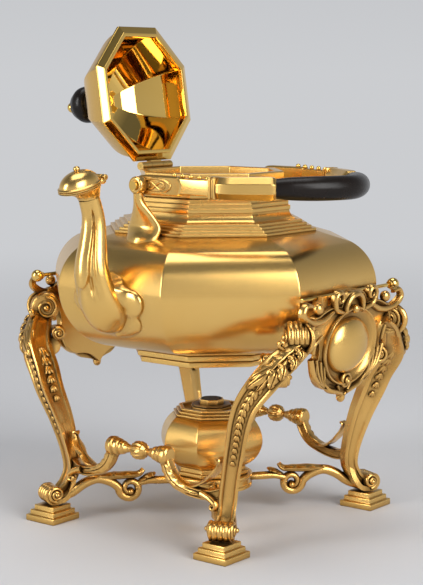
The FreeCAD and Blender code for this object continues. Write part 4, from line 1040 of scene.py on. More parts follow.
@dataclass
class Kettle:
    """The vessel with its stepped neck, rim and foot ring, and the lugs that carry the bail."""

    wall: tuple = ((52.0, 110.0), ((87.0, 118.0), (100.7, 146.0)), ((97.4, 158.0), (85.5, 169.6)),
                   (64.4, 175.6))
    lining: tuple = ((50.9, 111.6), ((85.9, 119.1), (99.1, 146.0)), ((95.8, 158.0), (84.4, 168.5)),
                     (64.4, 174.0))
    opening: float = 50.0
    arris: float = 0.9
    ring_arris: float = 0.7
    neck_lap: float = 1.6
    neck_steps: int = 4
    neck_step: Pair = (2.85, 1.65)  # inwards and up
    neck_soft: float = 0.4
    cove: tuple = ((49.4, 184.44), (48.0, 187.8))
    fillets: Many = (48.6, 47.43, 46.27)
    fillet_height: float = 2.667
    fillet_gap: float = 0.15
    rim: Many = (40.0, 44.5, 195.8, 210.4)  # bore, radius, lower and upper end
    rim_soft: float = 0.8
    foot_steps: Many = (52.0, 49.8, 47.6)
    quirk: Pair = (0.9, 0.8)  # depth and height
    quirk_slope: float = 0.1
    foot_low: float = 98.0
    foot_bore: float = 43.0
    foot_soft: float = 0.5
    pivot: Pair = (67.0, 204.8)
    lug: tuple = ((66.4, 168.6, 15.0, 8.0), (65.4, 172.0, 20.4, 9.6), (62.8, 175.6, 23.0, 9.2),
                  (61.3, 180.6, 23.8, 7.8), (62.6, 186.0, 18.0, 6.8), (64.6, 191.0, 11.6, 6.4),
                  (66.4, 195.6, 6.6, 6.0), (67.0, 200.4, 5.6, 5.8))  # x, z, width and depth
    lug_ridge: float = 0.16
    lug_eye: Many = (1.7, 5.0, 6.0, 1.6)  # bore, radius, length and rounding

    def wall_out(self, heights: Line) -> Line:
        """How far the middle of a side lies from the axis at given heights."""
        line = outline(self.wall, arc_points=30)
        return np.interp(heights, line[:, 1], line[:, 0]) * TO_SIDE

    def vessel(self) -> list[Form]:
        """The body, hollow and open at the top.

        Returns:
            The forms of the body.
        """
        outside, inside = outline(self.wall, arc_points=30), outline(self.lining, arc_points=20)
        top = [(self.opening, self.wall[-1][1]), (self.opening, self.lining[-1][1])]
        under, floor = [(0.0, self.wall[0][1])], [(0.0, self.lining[0][1])]
        return [octagonal(np.vstack([under, outside, top, inside[::-1], floor]), self.arris, loop=False)]

    def neck(self) -> list[Form]:
        """Fine steps up from the shoulder, a cove, and fillets up to the rim.

        Returns:
            The forms of the neck.
        """
        radius, height = self.wall[-1]
        drawn = [(self.opening - self.neck_lap, height)]
        for _ in range(self.neck_steps):
            drawn += [(radius, height), (radius, height + self.neck_step[1])]
            radius, height = radius - self.neck_step[0], height + self.neck_step[1]
        drawn += [(radius, height), self.cove]
        height = self.cove[1][1]
        for edge in self.fillets:
            drawn += [(edge, height + self.fillet_gap), (edge, height + self.fillet_height - self.fillet_gap)]
            height += self.fillet_height
        drawn.append((self.rim[0], height))
        return [octagonal(softened(outline(drawn, arc_points=10), self.neck_soft), self.ring_arris)]

    def mouth(self) -> list[Form]:
        """The plain band of the rim.

        Returns:
            The forms of the rim.
        """
        bore, radius, low, high = self.rim
        drawn = [(bore, low), (radius, low), (radius, high), (bore, high)]
        return [octagonal(softened(drawn, self.rim_soft), self.ring_arris)]

    def foot(self) -> list[Form]:
        """The stepped ring below the body, with a quirk over each step.

        Returns:
            The forms of the foot.
        """
        height = self.wall[0][1]
        step = (height - self.foot_low) / len(self.foot_steps)
        sunk, narrow = self.quirk
        drawn = [(self.foot_bore, height)]
        for radius in self.foot_steps:
            drawn += [(radius - sunk, height), (radius - sunk, height - narrow),
                      (radius, height - narrow - self.quirk_slope), (radius, height - step)]
            height -= step
        drawn.append((self.foot_bore, self.foot_low))
        return [octagonal(softened(drawn, self.foot_soft), self.ring_arris)]

    def front_lug(self) -> Form:
        """A ridged drop with a ring eye at its top.

        Returns:
            The lug as one form.
        """
        rows = spline(self.lug, 8)
        angles = full_turn(28)
        ridge = 1 + self.lug_ridge * np.maximum(np.sin(angles), 0) ** 14
        cuts = [oval(angles, wide / 2, deep / 2 * ridge) for wide, deep in rows[:, 2:]]
        x, z = self.pivot
        eye = ring(*self.lug_eye).turned(90, Y_AXIS).moved((x - self.lug_eye[2] / 2, 0, z))
        return joined([swept(np.insert(rows[:, :2], 1, 0.0, axis=1), cuts, X_AXIS), eye])

    def build(self, bench: Bench) -> None:
        """Makes and dresses the kettle's pieces.

        Args:
            bench: makes and dresses the pieces.
        """
        lug = self.front_lug()
        for name, forms, node in (
            ("kettle body", self.vessel(), "kettle_body"), ("neck mouldings", self.neck(), "neck_mouldings"),
            ("mouth rim", self.mouth(), "mouth_rim"), ("foot ring", self.foot(), "kettle_foot"),
            ("front bail lug", [lug], "handle_lug_front"),
            ("back bail lug", [lug.mirrored(0)], "handle_lug_back"),
        ):
            bench.piece(name, forms, GILT_SATIN, "kettle", [node])
        bench.dress(GILT_SATIN, "rim_hinge", "pin_eye_right", "pin_eye_left")
        bench.dress(GILT_BRIGHT, "lid_hinge_pin", "pivot_pins", "spout_cap_pin")


@dataclass
class Spout:
    """The banded spout, the lobed swelling at its root and its flared mouth."""

    kettle: Kettle
    places: tuple = ((80.0, 136.0, 11.0), (92.0, 136.0, 13.0), (100.5, 144.0, 12.2), (105.5, 155.0, 10.8),
                     (106.5, 164.0, 9.6), (105.4, 173.5, 8.3), (104.4, 183.0, 7.2), (105.0, 191.0, 6.5),
                     (108.0, 200.0, 6.2))  # x, z and half width
    steps: int = 16
    cut_points: int = 120
    facing: Triple = (1.0, 0.0, -0.3)
    bulge: float = 0.045
    groove: float = 2.0
    groove_spread: tuple = ((152.0, 194.0), (15.0, 3.5))  # heights, and degrees at them
    groove_fade: tuple = ((146.0, 154.0, 188.0, 198.0), (0.0, 1.0, 0.8, 0.0))  # heights, shares of its depth
    tongue: Triple = (154.5, 4.5, 30.0)  # lower end, rise to its sides, half width in degrees
    tongue_soft: Pair = (1.6, 12.0)  # its edge below, and beside it in degrees
    tongue_fade: tuple = ((144.0, 152.0), (0.0, 1.0))
    sheet: float = 1.3
    hollow_rows: int = 25
    root: Pair = (0.0, 136.0)
    lobes: tuple = ((0.0, 22.0), (8.5, 19.0), (11.2, 15.2), (16.0, 13.4), (21.4, 11.8), (24.6, 8.4),
                    (25.2, 4.2), (23.6, 0.2), (20.4, -3.2), (20.8, -6.8), (18.6, -10.6), (13.0, -13.8),
                    (6.6, -16.0), (0.0, -16.8))  # y and z, from its root
    slope: tuple = ((0.9, -3.0), (1.0, -1.2), (1.0, 0.9), (0.985, 1.8), (0.95, 2.5), (0.88, 3.0), (0.8, 3.3),
                    (0.74, 3.4), (0.68, 3.5), (0.62, 3.6), (0.56, 3.6), (0.5, 3.6), (0.44, 3.6), (0.36, 3.6),
                    (0.25, 3.6))  # share of the lobes, and rise
    thinning: tuple = ((-5.0, -1.0), (0.55, 1.0))  # heights, and shares of the swelling at them
    sweep: float = 7.0
    sweep_lap: float = 0.8
    under_slant: float = 0.35
    mouth_centre: Triple = (115.03, 0.0, 206.0)
    mouth_tilt: float = 14.5
    mouth_half: Pair = (14.0, 10.2)
    mouth_rows: tuple = ((0.0, 0.0, 0.0), (0.2, 0.06, 0.0), (0.45, 0.2, 0.0), (0.68, 0.46, 0.0),
                         (0.82, 0.74, 0.0), (0.86, 0.9, 0.1), (0.9, 0.92, 0.2), (0.92, 0.99, 0.1),
                         (0.96, 1.0, 0.0), (1.0, 0.985, 0.2), (1.0, 1.0, 1.2), (0.82, 0.74, 1.2),
                         (0.45, 0.2, 1.2), (0.0, 0.0, 1.2))  # share of its height, opening, inset
    hinge: Pair = (-16.1, 1.02)  # along and above the mouth's plane
    knuckle: Pair = (1.7, 0.3)  # radius and rounding
    ears: Pair = (2.8, -5.3)
    ear_width: float = 2.5
    web: Pair = (1.9, -1.6)
    web_radii: Triple = (2.6, 1.2, 1.7)

    def _cut(self, half: float, height: float) -> Line:
        """The spout's cut: four bands parted by narrow grooves, the front one ending in a tongue.

        Args:
            half: its half width.
            height: of its middle above the table.

        Returns:
            Rows of across and outwards.
        """
        angles = full_turn(self.cut_points)
        degrees = np.degrees(angles)
        reach = half * (1 + self.bulge * np.cos(4 * angles))
        depth = self.groove * np.interp(height, *self.groove_fade)
        reach -= depth * np.exp(-((degrees % 90 - 45) / np.interp(height, *self.groove_spread)) ** 4)
        from_front = np.abs((degrees + 180) % 360 - 180)
        low, rise, spread = self.tongue
        end = low + rise * np.minimum(from_front / spread, 1) ** 2.5
        soft, side = self.tongue_soft
        below = np.clip((end - height) / soft, 0, 1) * np.clip((45 - from_front) / side, 0, 1)
        reach -= self.groove * below * np.interp(height, *self.tongue_fade)
        return oval(angles, reach)[:, ::-1]

    def tube(self) -> list[Form]:
        """The spout from its root to its mouth, hollow at its upper end.

        Returns:
            The forms of the tube.
        """
        rows = spline(self.places, self.steps)
        count = len(rows)
        inside = range(count - 1, count - 1 - self.hollow_rows, -1)
        circle = oval(full_turn(self.cut_points))[:, ::-1]
        cuts = [self._cut(half, height) for _, height, half in rows]
        hollow = [circle * (rows[number, 2] - self.sheet) for number in inside]
        path = np.insert(rows[:, :2], 1, 0.0, axis=1)
        return [swept(path, cuts + hollow, self.facing, [*range(count), *inside])]

    def swelling(self) -> list[Form]:
        """The lobed swelling on the kettle's side, which hollows up into the spout.

        Returns:
            The forms of the swelling.
        """
        edge = both_sides(spline(self.lobes, 6))
        wing = np.interp(edge[:, 1], *self.thinning)
        out, height, half = spline(self.places, self.steps)[self.steps:].T
        rows = []
        for share, rise in self.slope:
            y, z = (self.root + share * edge).T
            below = np.maximum(self.root[1] - z, 0)
            tube = np.sqrt(np.maximum(np.interp(z, height, half) ** 2 - below ** 2, 0))
            near = np.clip(1 - (np.abs(y) - tube + self.sweep_lap) / self.sweep, 0, 1) ** 2.2
            flat = self.kettle.wall_out(z) + (rise * wing if rise > 0 else rise)
            reach = np.interp(z, height, out) - self.under_slant * below
            rows.append(np.column_stack([flat + near * np.maximum(reach - flat, 0) * (rise > 2), y, z]))
        return [skin(np.array(rows))]

    def mouth(self) -> list[Form]:
        """The mouth, from the spout's round end to an oval, with a rolled lip and hinge ears.

        Returns:
            The forms of the mouth.
        """
        x, z, radius = self.places[-1]
        end, centre = np.array([x, 0.0, z]), np.asarray(self.mouth_centre)
        tilt = math.radians(self.mouth_tilt)
        along = np.array([math.cos(tilt), 0, -math.sin(tilt)])
        up = np.array([math.sin(tilt), 0, math.cos(tilt)])
        shape = []
        for share, opened, inset in self.mouth_rows:
            middle = end + (centre - end) * np.array([opened, 0, share])
            long, wide = (radius + (half - radius) * opened - inset for half in self.mouth_half)
            shape.append(Board(middle, along, Y_AXIS, up).place(oval(full_turn(64), long, wide)))
        forms = [skin(np.array(shape))]
        flat = Board(centre, along, Y_AXIS, up)
        for low in self.ears:
            first, last, middle = (np.array([self.hinge[0], low + self.ear_width * share, self.hinge[1]])
                                   for share in (0.0, 1.0, 0.5))
            web = flat.place(middle + (self.web[0], 0.0, self.web[1]))
            forms += [rod(flat.place(first), flat.place(last), *self.knuckle), ball(web, self.web_radii, 16)]
        return forms

    def build(self, bench: Bench) -> None:
        """Makes and dresses the spout.

        Args:
            bench: makes and dresses the pieces.
        """
        bench.piece("spout", self.tube(), GILT_SATIN, "kettle", ["spout"], crease=55)
        bench.piece("spout swelling", self.swelling(), GILT_SATIN, "kettle", ["spout_base"], crease=70)
        bench.piece("spout mouth", self.mouth(), GILT_SATIN, "kettle", ["spout_mouth"])


@dataclass
class SpoutCap:
    """The domed flap on the spout's mouth, with its knob."""

    spout: Spout
    seat: float = 0.1
    rim: float = 1.6
    side: tuple = ((0.9, 0.0), (1.0, 0.0), (1.0, 0.5), (0.965, 0.8), (1.0, 1.1))
    ledge: float = 1.0
    dome: float = 7.8
    lining: tuple = ((0.0, 5.2), (0.5, 4.68), (0.86, 0.0))
    knuckle: float = 2.5
    web: Pair = (1.9, -0.1)
    web_radii: Triple = (2.6, 2.3, 0.8)
    stem: tuple = ((0.0, -0.6), (1.6, -0.5), (1.2, 0.6), (1.2, 1.1), (0.0, 1.1))
    knob: Triple = (1.9, 1.9, 1.5)

    def _place(self, forms: Sequence[Form]) -> list[Form]:
        """Forms drawn on the mouth's plane, put in their place."""
        return [form.turned(self.spout.mouth_tilt, Y_AXIS).moved(self.spout.mouth_centre) for form in forms]

    def flap(self) -> list[Form]:
        """An oval lid with a double rim, hollow below, and its knuckle.

        Returns:
            The forms of the flap.
        """
        half = np.array(self.spout.mouth_half)
        top = self.seat + self.rim
        rows = [(share, top + rise) for share, rise in self.lining]
        rows += [(share, self.seat + rise) for share, rise in self.side] + [(1.0, top)]
        drawn = [(half * share, height) for share, height in rows]
        for angle in np.radians(np.linspace(4, 90, 14)):
            drawn.append(((half - self.ledge) * math.cos(angle), top + self.dome * math.sin(angle)))
        shape = [at_height(oval(full_turn(56), *sizes), height) for sizes, height in drawn]
        x, z = self.spout.hinge
        web = ball((x + self.web[0], 0, z + self.web[1]), self.web_radii, 16)
        hinge = rod((x, -self.knuckle, z), (x, self.knuckle, z), *self.spout.knuckle)
        return self._place([skin(np.array(shape)), hinge, web])

    def bud(self) -> list[Form]:
        """A small bud on a short stem.

        Returns:
            The forms of the bud.
        """
        top = np.array([0.0, self.seat + self.rim + self.dome])
        middle = ball((0, 0, top[1] + self.stem[-1][1]), self.knob)
        return self._place([round_form(self.stem + top, 20), middle])

    def build(self, bench: Bench) -> None:
        """Makes and dresses the flap."""
        bench.piece("spout cap", self.flap(), GILT_SATIN, "spout_cap", ["spout_cap"])
        bench.piece("spout cap knob", self.bud(), GILT_SATIN, "spout_cap", ["spout_cap_knob"])


@dataclass
class Lid:
    """The lid, drawn shut and then opened, with its finial."""

    open_angle: float = 98.6
    hinge: Triple = (0.0, -44.2126, 211.6)
    low: float = 210.7
    bore: float = 37.6
    flange: float = 5.0
    flange_side: tuple = ((39.9, 0.0), (40.2, 0.4), (44.5, 2.1), (44.5, 3.7), (42.9, 4.0), (42.9, 5.0))
    dome: tuple = ((41.4, 0.0, 1.0, 0.0), (38.4, 9.5, 1.0, 0.4), (32.0, 19.0, 0.7, 0.7),
                   (23.0, 26.6, 0.0, 1.0), (11.0, 31.8, 0.0, 1.0))  # radius, rise, sheet inwards and down
    arris: float = 0.7
    flange_arris: float = 0.6
    nut_arris: float = 0.2
    soft: float = 0.3
    collar_soft: float = 0.5
    knop_soft: float = 0.4
    screw: float = 1.5
    sheet: float = 1.6
    top: float = 247.5
    collar: tuple = ((9.0, 0.0), (9.0, 1.3), (7.2, 1.9), (6.48, 3.4))
    knop: Pair = (11.5, 20.5)
    knop_outline: tuple = ((0.13, 0.0), (0.62, 0.0), ((0.6, 0.16), (0.82, 0.3)), ((1.0, 0.5), (0.86, 0.75)),
                           ((0.66, 0.92), (0.296, 1.0)), (0.13, 1.0))
    tip: Pair = (3.4, 3.3)  # radius and rise
    washer: Pair = (2.7, 1.7)  # radius and height
    nut: Pair = (4.0, 2.5)  # radius and height
    screw_ends: Pair = (3.5, 1.0)  # below the dome and into the ball

    def _open(self, forms: Sequence[Form]) -> list[Form]:
        """Forms drawn on the shut lid, turned open."""
        return [form.turned(self.open_angle, X_AXIS, self.hinge) for form in forms]

    def _wall(self, depth: float) -> Line:
        """The dome's outline at a depth below its outside.

        Args:
            depth: how far below the outside.

        Returns:
            Rows of radius and height.
        """
        base = self.low + self.flange
        foot, low, waist, high, end = ((radius - inwards * depth, base + rise - down * depth)
                                       for radius, rise, inwards, down in self.dome)
        return outline([foot, (low, waist), (high, end), (self.screw, end[1])], arc_points=20)

    def _shell(self, outer: float, inner: float) -> list[Form]:
        """A layer of the dome between two depths below its outside."""
        return [octagonal(np.vstack([self._wall(outer), self._wall(inner)[::-1]]), self.arris)]

    def flange_form(self) -> list[Form]:
        """The rim of the lid: a lip round the opening, a slope down from it and a step outside."""
        drawn = [(self.bore, self.flange), (self.bore, 0.0), *self.flange_side]
        return [octagonal(softened(drawn, self.soft) + (0, self.low), self.flange_arris)]

    def finial(self) -> dict[str, list[Form]]:
        """The collar, the wooden knop and the ball with its screw and nut, by the CAD node's name.

        Returns:
            The forms of each node.
        """
        height = self.collar[-1][1]
        collar = np.array([(self.screw, 0), *self.collar, (self.screw, height)]) + (0, self.top)
        knop = outline(self.knop_outline, arc_points=14) * self.knop + (0, self.top + height)
        end = self.top + height + self.knop[1]
        under = self.top - self.sheet
        wide, thick = self.nut
        nut = np.array([(self.screw, -thick), (wide, -thick), (wide, 0), (self.screw, 0)]) + (0, under)
        radius, rise = self.tip
        below, above = self.screw_ends
        return {
            "finial_collar": [round_form(softened(collar, self.collar_soft), 48, loop=True)],
            "finial_knop": [round_form(softened(knop, self.knop_soft), 64, loop=True)],
            "finial_tip": [ball((0, 0, end + rise), radius),
                           ring(0.0, *self.washer, self.soft).moved((0, 0, end)),
                           rod((0, 0, under - below), (0, 0, end + above), self.screw)],
            "finial_nut": [octagonal(softened(nut, self.soft), self.nut_arris)],
        }

    def build(self, bench: Bench) -> None:
        """Makes and dresses the lid.

        Args:
            bench: makes and dresses the pieces.
        """
        half = self.sheet / 2
        bench.piece("lid dome", self._open(self._shell(0, half)), GILT_SATIN, "lid", ["lid_dome"])
        bench.piece("lid lining", self._open(self._shell(half, self.sheet)), GILT_BRIGHT, "lid")
        bench.piece("lid flange", self._open(self.flange_form()), GILT_BRIGHT, "lid", ["lid_flange"])
        for node, forms in self.finial().items():
            finish = DARK_WOOD if node == "finial_knop" else GILT_BRIGHT
            bench.piece(node.replace("_", " "), self._open(forms), finish, "lid", [node])
        bench.dress(GILT_SATIN, "lid_knuckle")


@dataclass
class Bail:
    """The handle: two metal arms with eight-sided sockets, and a wooden grip between them."""

    pivot_z: float = 204.8
    lift: float = -0.4
    arm_x: float = 60.5
    eye: float = 5.6
    thickness: float = 6.4
    block_end: Pair = (28.4, 25.9)
    block_soft: float = 0.9
    panel: Pair = (10.5, 4.0)
    panel_wire: tuple = ((1.3, 0.8), (1.3, 0.8))
    panel_scroll: tuple = ((0.0, 0.0), (3.0, 1.9), (5.5, 1.5))
    panel_curl: Pair = (1.2, 1.1)  # radius and turns
    scroll_wire: tuple = ((1.3, 0.9), (0.7, 0.6))
    bar: tuple = ((-0.4, 26.4, 9.4, 5.8), (-1.8, 36.5, 9.2, 5.8), (-3.2, 46.4, 9.4, 5.8),
                  (-5.0, 51.2, 9.4, 5.8))  # x from the arm, y, height and depth
    collar: tuple = ((-3.0, 45.2), (-4.2, 49.2))
    collar_size: Pair = (13.0, 9.5)
    collar_rings: tuple = ((0.0, 0.36, 1.0), (0.36, 0.64, 0.9), (0.64, 1.0, 1.0))  # from, to and size
    ring_edge: Pair = (0.06, 0.94)
    socket: tuple = ((-4.3, 49.2, 11.0, 9.6), (-4.6, 50.0, 12.4, 11.0), (-8.4, 57.0, 12.6, 11.4),
                     (-12.5, 63.0, 12.8, 11.8), (-20.2, 72.2, 13.0, 12.4), (-21.6, 73.9, 12.8, 12.2),
                     (-22.5, 75.0, 12.0, 11.4), (-22.9, 75.5, 10.6, 10.0))  # as for the bar
    socket_arris: float = 0.08
    grip: tuple = ((-19.0, 70.8, 5.0), (-22.5, 75.0, 5.5), (-29.5, 82.6, 6.5), (-42.0, 92.4, 6.9),
                   (-60.5, 99.0, 6.9))  # x from the arm, y and radius
    bead: float = 1.5
    beads: int = 5
    bead_line: tuple = ((-0.6, 21.0, 6.1), (-2.9, 43.0, 5.1))

    def _lay(self, forms: Sequence[Form]) -> list[Form]:
        """Forms drawn with the bail level, laid down and lifted to its pivots."""
        return [form.turned(self.lift, X_AXIS).moved((0, 0, self.pivot_z)) for form in forms]

    def _block(self) -> list[Form]:
        """The eyed block at the arm's end, with a scrolled panel on its face.

        Returns:
            The forms of the block.
        """
        back, face = (Board((self.arm_x + side * self.thickness / 2, 0, 0)) for side in (-1, 1))
        e, (end, bend) = self.eye, self.block_end
        edge = outline([(0, -e), (bend, -e), ((end, 0.0), (bend, e)), (0, e), ((-e, 0.0), (0, -e))], 12)
        middle, high = self.panel
        border = oval(np.linspace(0, math.tau, 40), middle, high) + (middle, 0)
        forms = [slab(back, edge[:-1], self.thickness, self.block_soft),
                 scroll(face, border, Section.HALF_ROUND, self.panel_wire)]
        for hand in HANDS:
            for way in HANDS:
                line = spline(self.panel_scroll, 6) * (way, hand) + (middle, 0)
                line = curled(line, *self.panel_curl, -hand * way)
                forms.append(scroll(face, line, Section.HALF_ROUND, self.scroll_wire))
        return forms

    def arm(self) -> Form:
        """The front arm: the block, a plain bar, a collar of three rings and the socket.

        Returns:
            The arm as one form.
        """
        forms = self._block()
        rows = spline(self.bar, 6) + (self.arm_x, 0, 0, 0)
        cuts = [cut_across(Section.BLOCK, high, deep) for high, deep in rows[:, 2:]]
        forms.append(swept(at_height(rows[:, :2], 0.0), cuts, X_AXIS))
        first, last = at_height(np.array(self.collar) + (self.arm_x, 0), 0.0)
        edge, narrow = self.ring_edge
        for low, high, grow in self.collar_rings:
            ends = np.array([first + (last - first) * t for t in (low, low + edge, high - edge, high)])
            sizes = [np.array(self.collar_size) * grow * scale for scale in (narrow, 1, 1, narrow)]
            forms.append(swept(ends, [cut_across(Section.BLOCK, *size) for size in sizes], X_AXIS))
        rows = np.array(self.socket) + (self.arm_x, 0, 0, 0)
        cuts = octagon(1.0, self.socket_arris) * rows[:, None, 2:] / 2 / TO_SIDE
        forms.append(swept(at_height(rows[:, :2], 0.0), cuts, X_AXIS))
        return joined(self._lay(forms))

    def grip_form(self) -> list[Form]:
        """The round wooden grip, from one socket to the other.

        Returns:
            The forms of the grip.
        """
        half = np.array(self.grip) + (self.arm_x, 0, 0)
        rows = spline(np.vstack([half, half[-2::-1] * (-1, 1, 1)]), 12)
        cuts = [oval(full_turn(32), radius) for radius in rows[:, 2]]
        return self._lay([swept(at_height(rows[:, :2], 0.0), cuts, Z_AXIS)])

    def build(self, bench: Bench, rows: RowMaker) -> None:
        """Makes and dresses the bail.

        Args:
            bench: makes and dresses the pieces.
            rows: makes the rows of repeats.
        """
        arm = self.arm()
        bench.piece("front bail arm", [arm], GILT_SATIN, "handle", ["handle_arm_front"])
        bench.piece("back bail arm", [arm.mirrored(0)], GILT_SATIN, "handle", ["handle_arm_back"])
        bench.piece("bail grip", self.grip_form(), DARK_WOOD, "handle", ["handle_grip"])
        bench.dress(GILT_BRIGHT, "grip_pins")
        line, = self._lay([Form(spline(np.array(self.bead_line) + (self.arm_x, 0, 0), 6), [])])
        lines = [(line.points * (side, 1, 1), UP) for side in HANDS]
        bead = ball((0, 0, 0), self.bead, 12)
        rows.row("bail beads", lines, bead, self.beads, (1.0, 1.0), GILT_BRIGHT, "handle")


@dataclass
class LockingPins:
    """The two ball-headed pins that lock the kettle to its stand."""

    height: float = 144.0
    out: float = 96.24
    ends: Pair = (-48.0, 42.0)
    radius: float = 1.2
    head: float = 3.75
    head_lap: float = 0.375
    washer: Triple = (2.2, 1.0, 0.3)

    def build(self, bench: Bench) -> None:
        """Makes and dresses the pins.

        Args:
            bench: makes and dresses the pieces.
        """
        low, high = self.ends
        foot = (low, self.out, self.height)
        pin = joined([rod(foot, (high, self.out, self.height), self.radius),
                      ball((low - self.head + self.head_lap, self.out, self.height), self.head, 32),
                      ring(0.0, *self.washer).turned(90, Y_AXIS).moved(foot)])
        for side, turn in (("right", 0), ("left", 180)):
            bench.piece(f"{side} locking pin", [pin.turned(turn, Z_AXIS)], GILT_BRIGHT, f"pin_{side}",
                        [f"locking_pin_{side}"])


@dataclass
class Legs:
    """The four scrolled legs on their stepped square feet, drawn at the front right."""

    centre: Pair = (72.7, 65.0)
    plinth_side: float = 22.8
    plinth_step: float = 1.8
    plinth_heights: Many = (3.8, 2.9, 2.9)
    plinth_soft: float = 0.5
    post: tuple = ((69.5, 63.5, 15.6, 10.0, 7.0), (63.5, 61.5, 21.6, 10.5, 7.0),
                   (60.0, 60.3, 30.0, 11.0, 8.0), (60.0, 62.3, 43.0, 10.8, 9.5),
                   (61.7, 67.2, 61.0, 11.6, 12.4), (64.6, 73.2, 78.0, 12.8, 14.6),
                   (64.3, 77.9, 89.0, 14.0, 15.6), (61.0, 87.04, 102.0, 15.8, 15.0),
                   (52.7, 93.04, 112.0, 15.0, 12.5), (43.0, 99.04, 120.5, 11.0, 9.5),
                   (34.0, 101.74, 125.5, 7.0, 6.5))  # x, y, z, width and depth
    back_share: float = 0.62
    post_edge: float = 0.6
    side_panel: tuple = ((0.0, 0.0), (0.15, 0.0), (0.22, 0.9), (0.72, 0.9), (0.8, 0.0), (1.0, 0.0))
    channel: tuple = ((0.7, 0.0), (0.6, 0.5), (0.54, 1.3), (0.0, 1.04))  # share of the width, depth
    facing: float = 24.0
    toe: tuple = ((-12.6, 27.0), (-10.9, 20.0), (-6.5, 13.6), (0.0, 11.7))
    toe_radius: float = 4.9
    toe_turns: float = 1.15
    toe_eye: float = 0.3
    toe_width: float = 12.4
    toe_start: Pair = (0.6, 1.6)  # width at the start and its growth
    toe_sheet: Pair = (2.6, 1.6)  # thickness at the start and at the end
    toe_reed: float = 0.7
    toe_coil: tuple = (6.1, 2.6, 2.9, 1, -90, 1.9)  # radius, rise, wire, hand, start and turns
    toe_coil_in: float = 0.6
    toe_core: Pair = (0.8, 4.5)  # how far its ends lie in, and its radius
    knee: Many = (48.04, 88.87, 101.5, 6.2, 7.0)  # x, y, z, radius and reach
    volute: Many = (50.9, 79.0, 110.0, 4.8, 8.0)  # the same
    knee_coil: tuple = (1.4, 2.6, 1, 60, 1.8)  # rise, wire, hand, start and turns
    knee_ends: Pair = (1.9, 1.6)  # of the roll and of the coil
    head: Triple = (44.6, 96.04, 124.0)
    head_radius: float = 8.6
    head_width: float = 12.5
    head_coil: tuple = (8.2, 0.9, 2.6, 1, 90, 1.7)  # radius, rise, wire, hand, start and turns
    head_coil_in: float = 0.4
    roll_less: float = 0.5
    roll_soft: float = 0.8
    leaf_heights: Pair = (119.0, 96.0)
    leaf_lift: float = 0.5
    blade: Triple = (5.2, 5, 2.4)  # half width, lobes and crown
    lobe: Triple = (3.5, 3, 1.5)  # the same
    lobe_lean: float = 0.45
    lobe_line: tuple = ((0.0, 0.1, 0.4), (0.3, 0.42, 1.5), (0.65, 0.78, 1.1),
                        (1.0, 1.0, 0.2))  # along, out and up
    lobes: tuple = ((0.04, 0.34, 8.0), (0.24, 0.36, 9.6), (0.46, 0.36, 8.6),
                    (0.64, 0.32, 6.4))  # start, length and spread
    brow: tuple = ((3.4, 9.0), (6.6, 5.0), (7.2, -1.0), (4.6, -6.6), (-1.6, -8.8), (-7.4, -6.6),
                   (-11.0, -3.4))
    brow_curl: Triple = (1.8, 0.9, -1)  # radius, turns and hand
    brow_proud: Pair = (1.0, 3.0)  # over the roll, and at least from its middle
    brow_widths: tuple = ((0.0, 0.3, 0.8, 1.0), (1.6, 2.8, 2.6, 1.2))
    brow_height: float = 3.4
    petal: Triple = (1.0, 1.3, 3.0)
    petal_spread: Pair = (24.0, 0.2)  # degrees, and how far back
    reed_bend: Pair = (-75.0, 105.0)  # degrees
    reed_size: Pair = (3.5, 2.6)  # width and height
    reed_in: float = 0.6
    reed_row_in: float = 1.9
    husk_heights: Pair = (99.0, 52.0)
    husk_sunk: float = 0.5
    side_heights: Pair = (100.0, 72.0)
    side_out: Pair = (0.4, 0.4)  # share of the width, and more
    husks: int = 13
    side_husks: int = 6
    husk_sizes: Pair = (1.05, 0.55)
    side_husk_sizes: Pair = (1.35, 0.7)
    reeds: int = 4

    def _diagonal(self) -> tuple[Line, Line]:
        """The way from the kettle's axis to the leg and the way across it."""
        out = unit(np.array([*self.centre, 0.0]))
        return out, np.array([-out[1], out[0], 0.0])

    def _front(self) -> tuple[Line, Line]:
        """The way that the post's face and its foot look, and the way across it.

        Returns:
            Two level vectors of length one.
        """
        turn = math.radians(self.facing)
        x, y = math.cos(turn), math.sin(turn)
        return np.array([x, y, 0.0]), np.array([-y, x, 0.0])

    def _roll_end(self, centre: Line, hand: int, reach: float) -> Board:
        """A board on an end of a roll across the leg, at a reach from the roll's centre."""
        out, across = self._diagonal()
        return Board(centre + hand * reach * across, -hand * out, Z_AXIS, hand * across)

    def _cut(self, wide: float, deep: float) -> Line:
        """The post's cut: a bordered channel outside, and panelled sides that draw in to the back.

        Args:
            wide: the post's width.
            deep: its depth.

        Returns:
            Rows of two numbers, across and outwards.
        """
        w, d, edge = wide / 2, deep / 2, self.post_edge
        back = self.back_share * w
        side = [(back + (w - back) * t - sunk, (d - edge) * (2 * t - 1)) for t, sunk in self.side_panel]
        face = [(share * w, d - sunk) for share, sunk in self.channel]
        half = [(back - edge, -d), *side, (w - edge, d), *face]
        return np.array(half + [(-x, y) for x, y in half[-2::-1]])

    def _between(self, heights: Pair) -> tuple[Line, Line]:
        """The post's rows between two heights, from the top down, and the way its face looks at each.

        Args:
            heights: the upper and the lower height.

        Returns:
            The rows, and a vector for each.
        """
        rows = spline(self.post, 10)
        facing = framed(rows[:, :3], self._front()[0])[0]
        keep = (rows[:, 2] <= heights[0]) & (rows[:, 2] >= heights[1])
        return rows[keep][::-1], facing[keep][::-1]

    def _face(self, heights: Pair) -> tuple[Line, Line]:
        """The middle line of the post's outer face between two heights, and the outward ways along it."""
        rows, facing = self._between(heights)
        return rows[:, :3] + facing * (rows[:, 4:5] / 2), facing

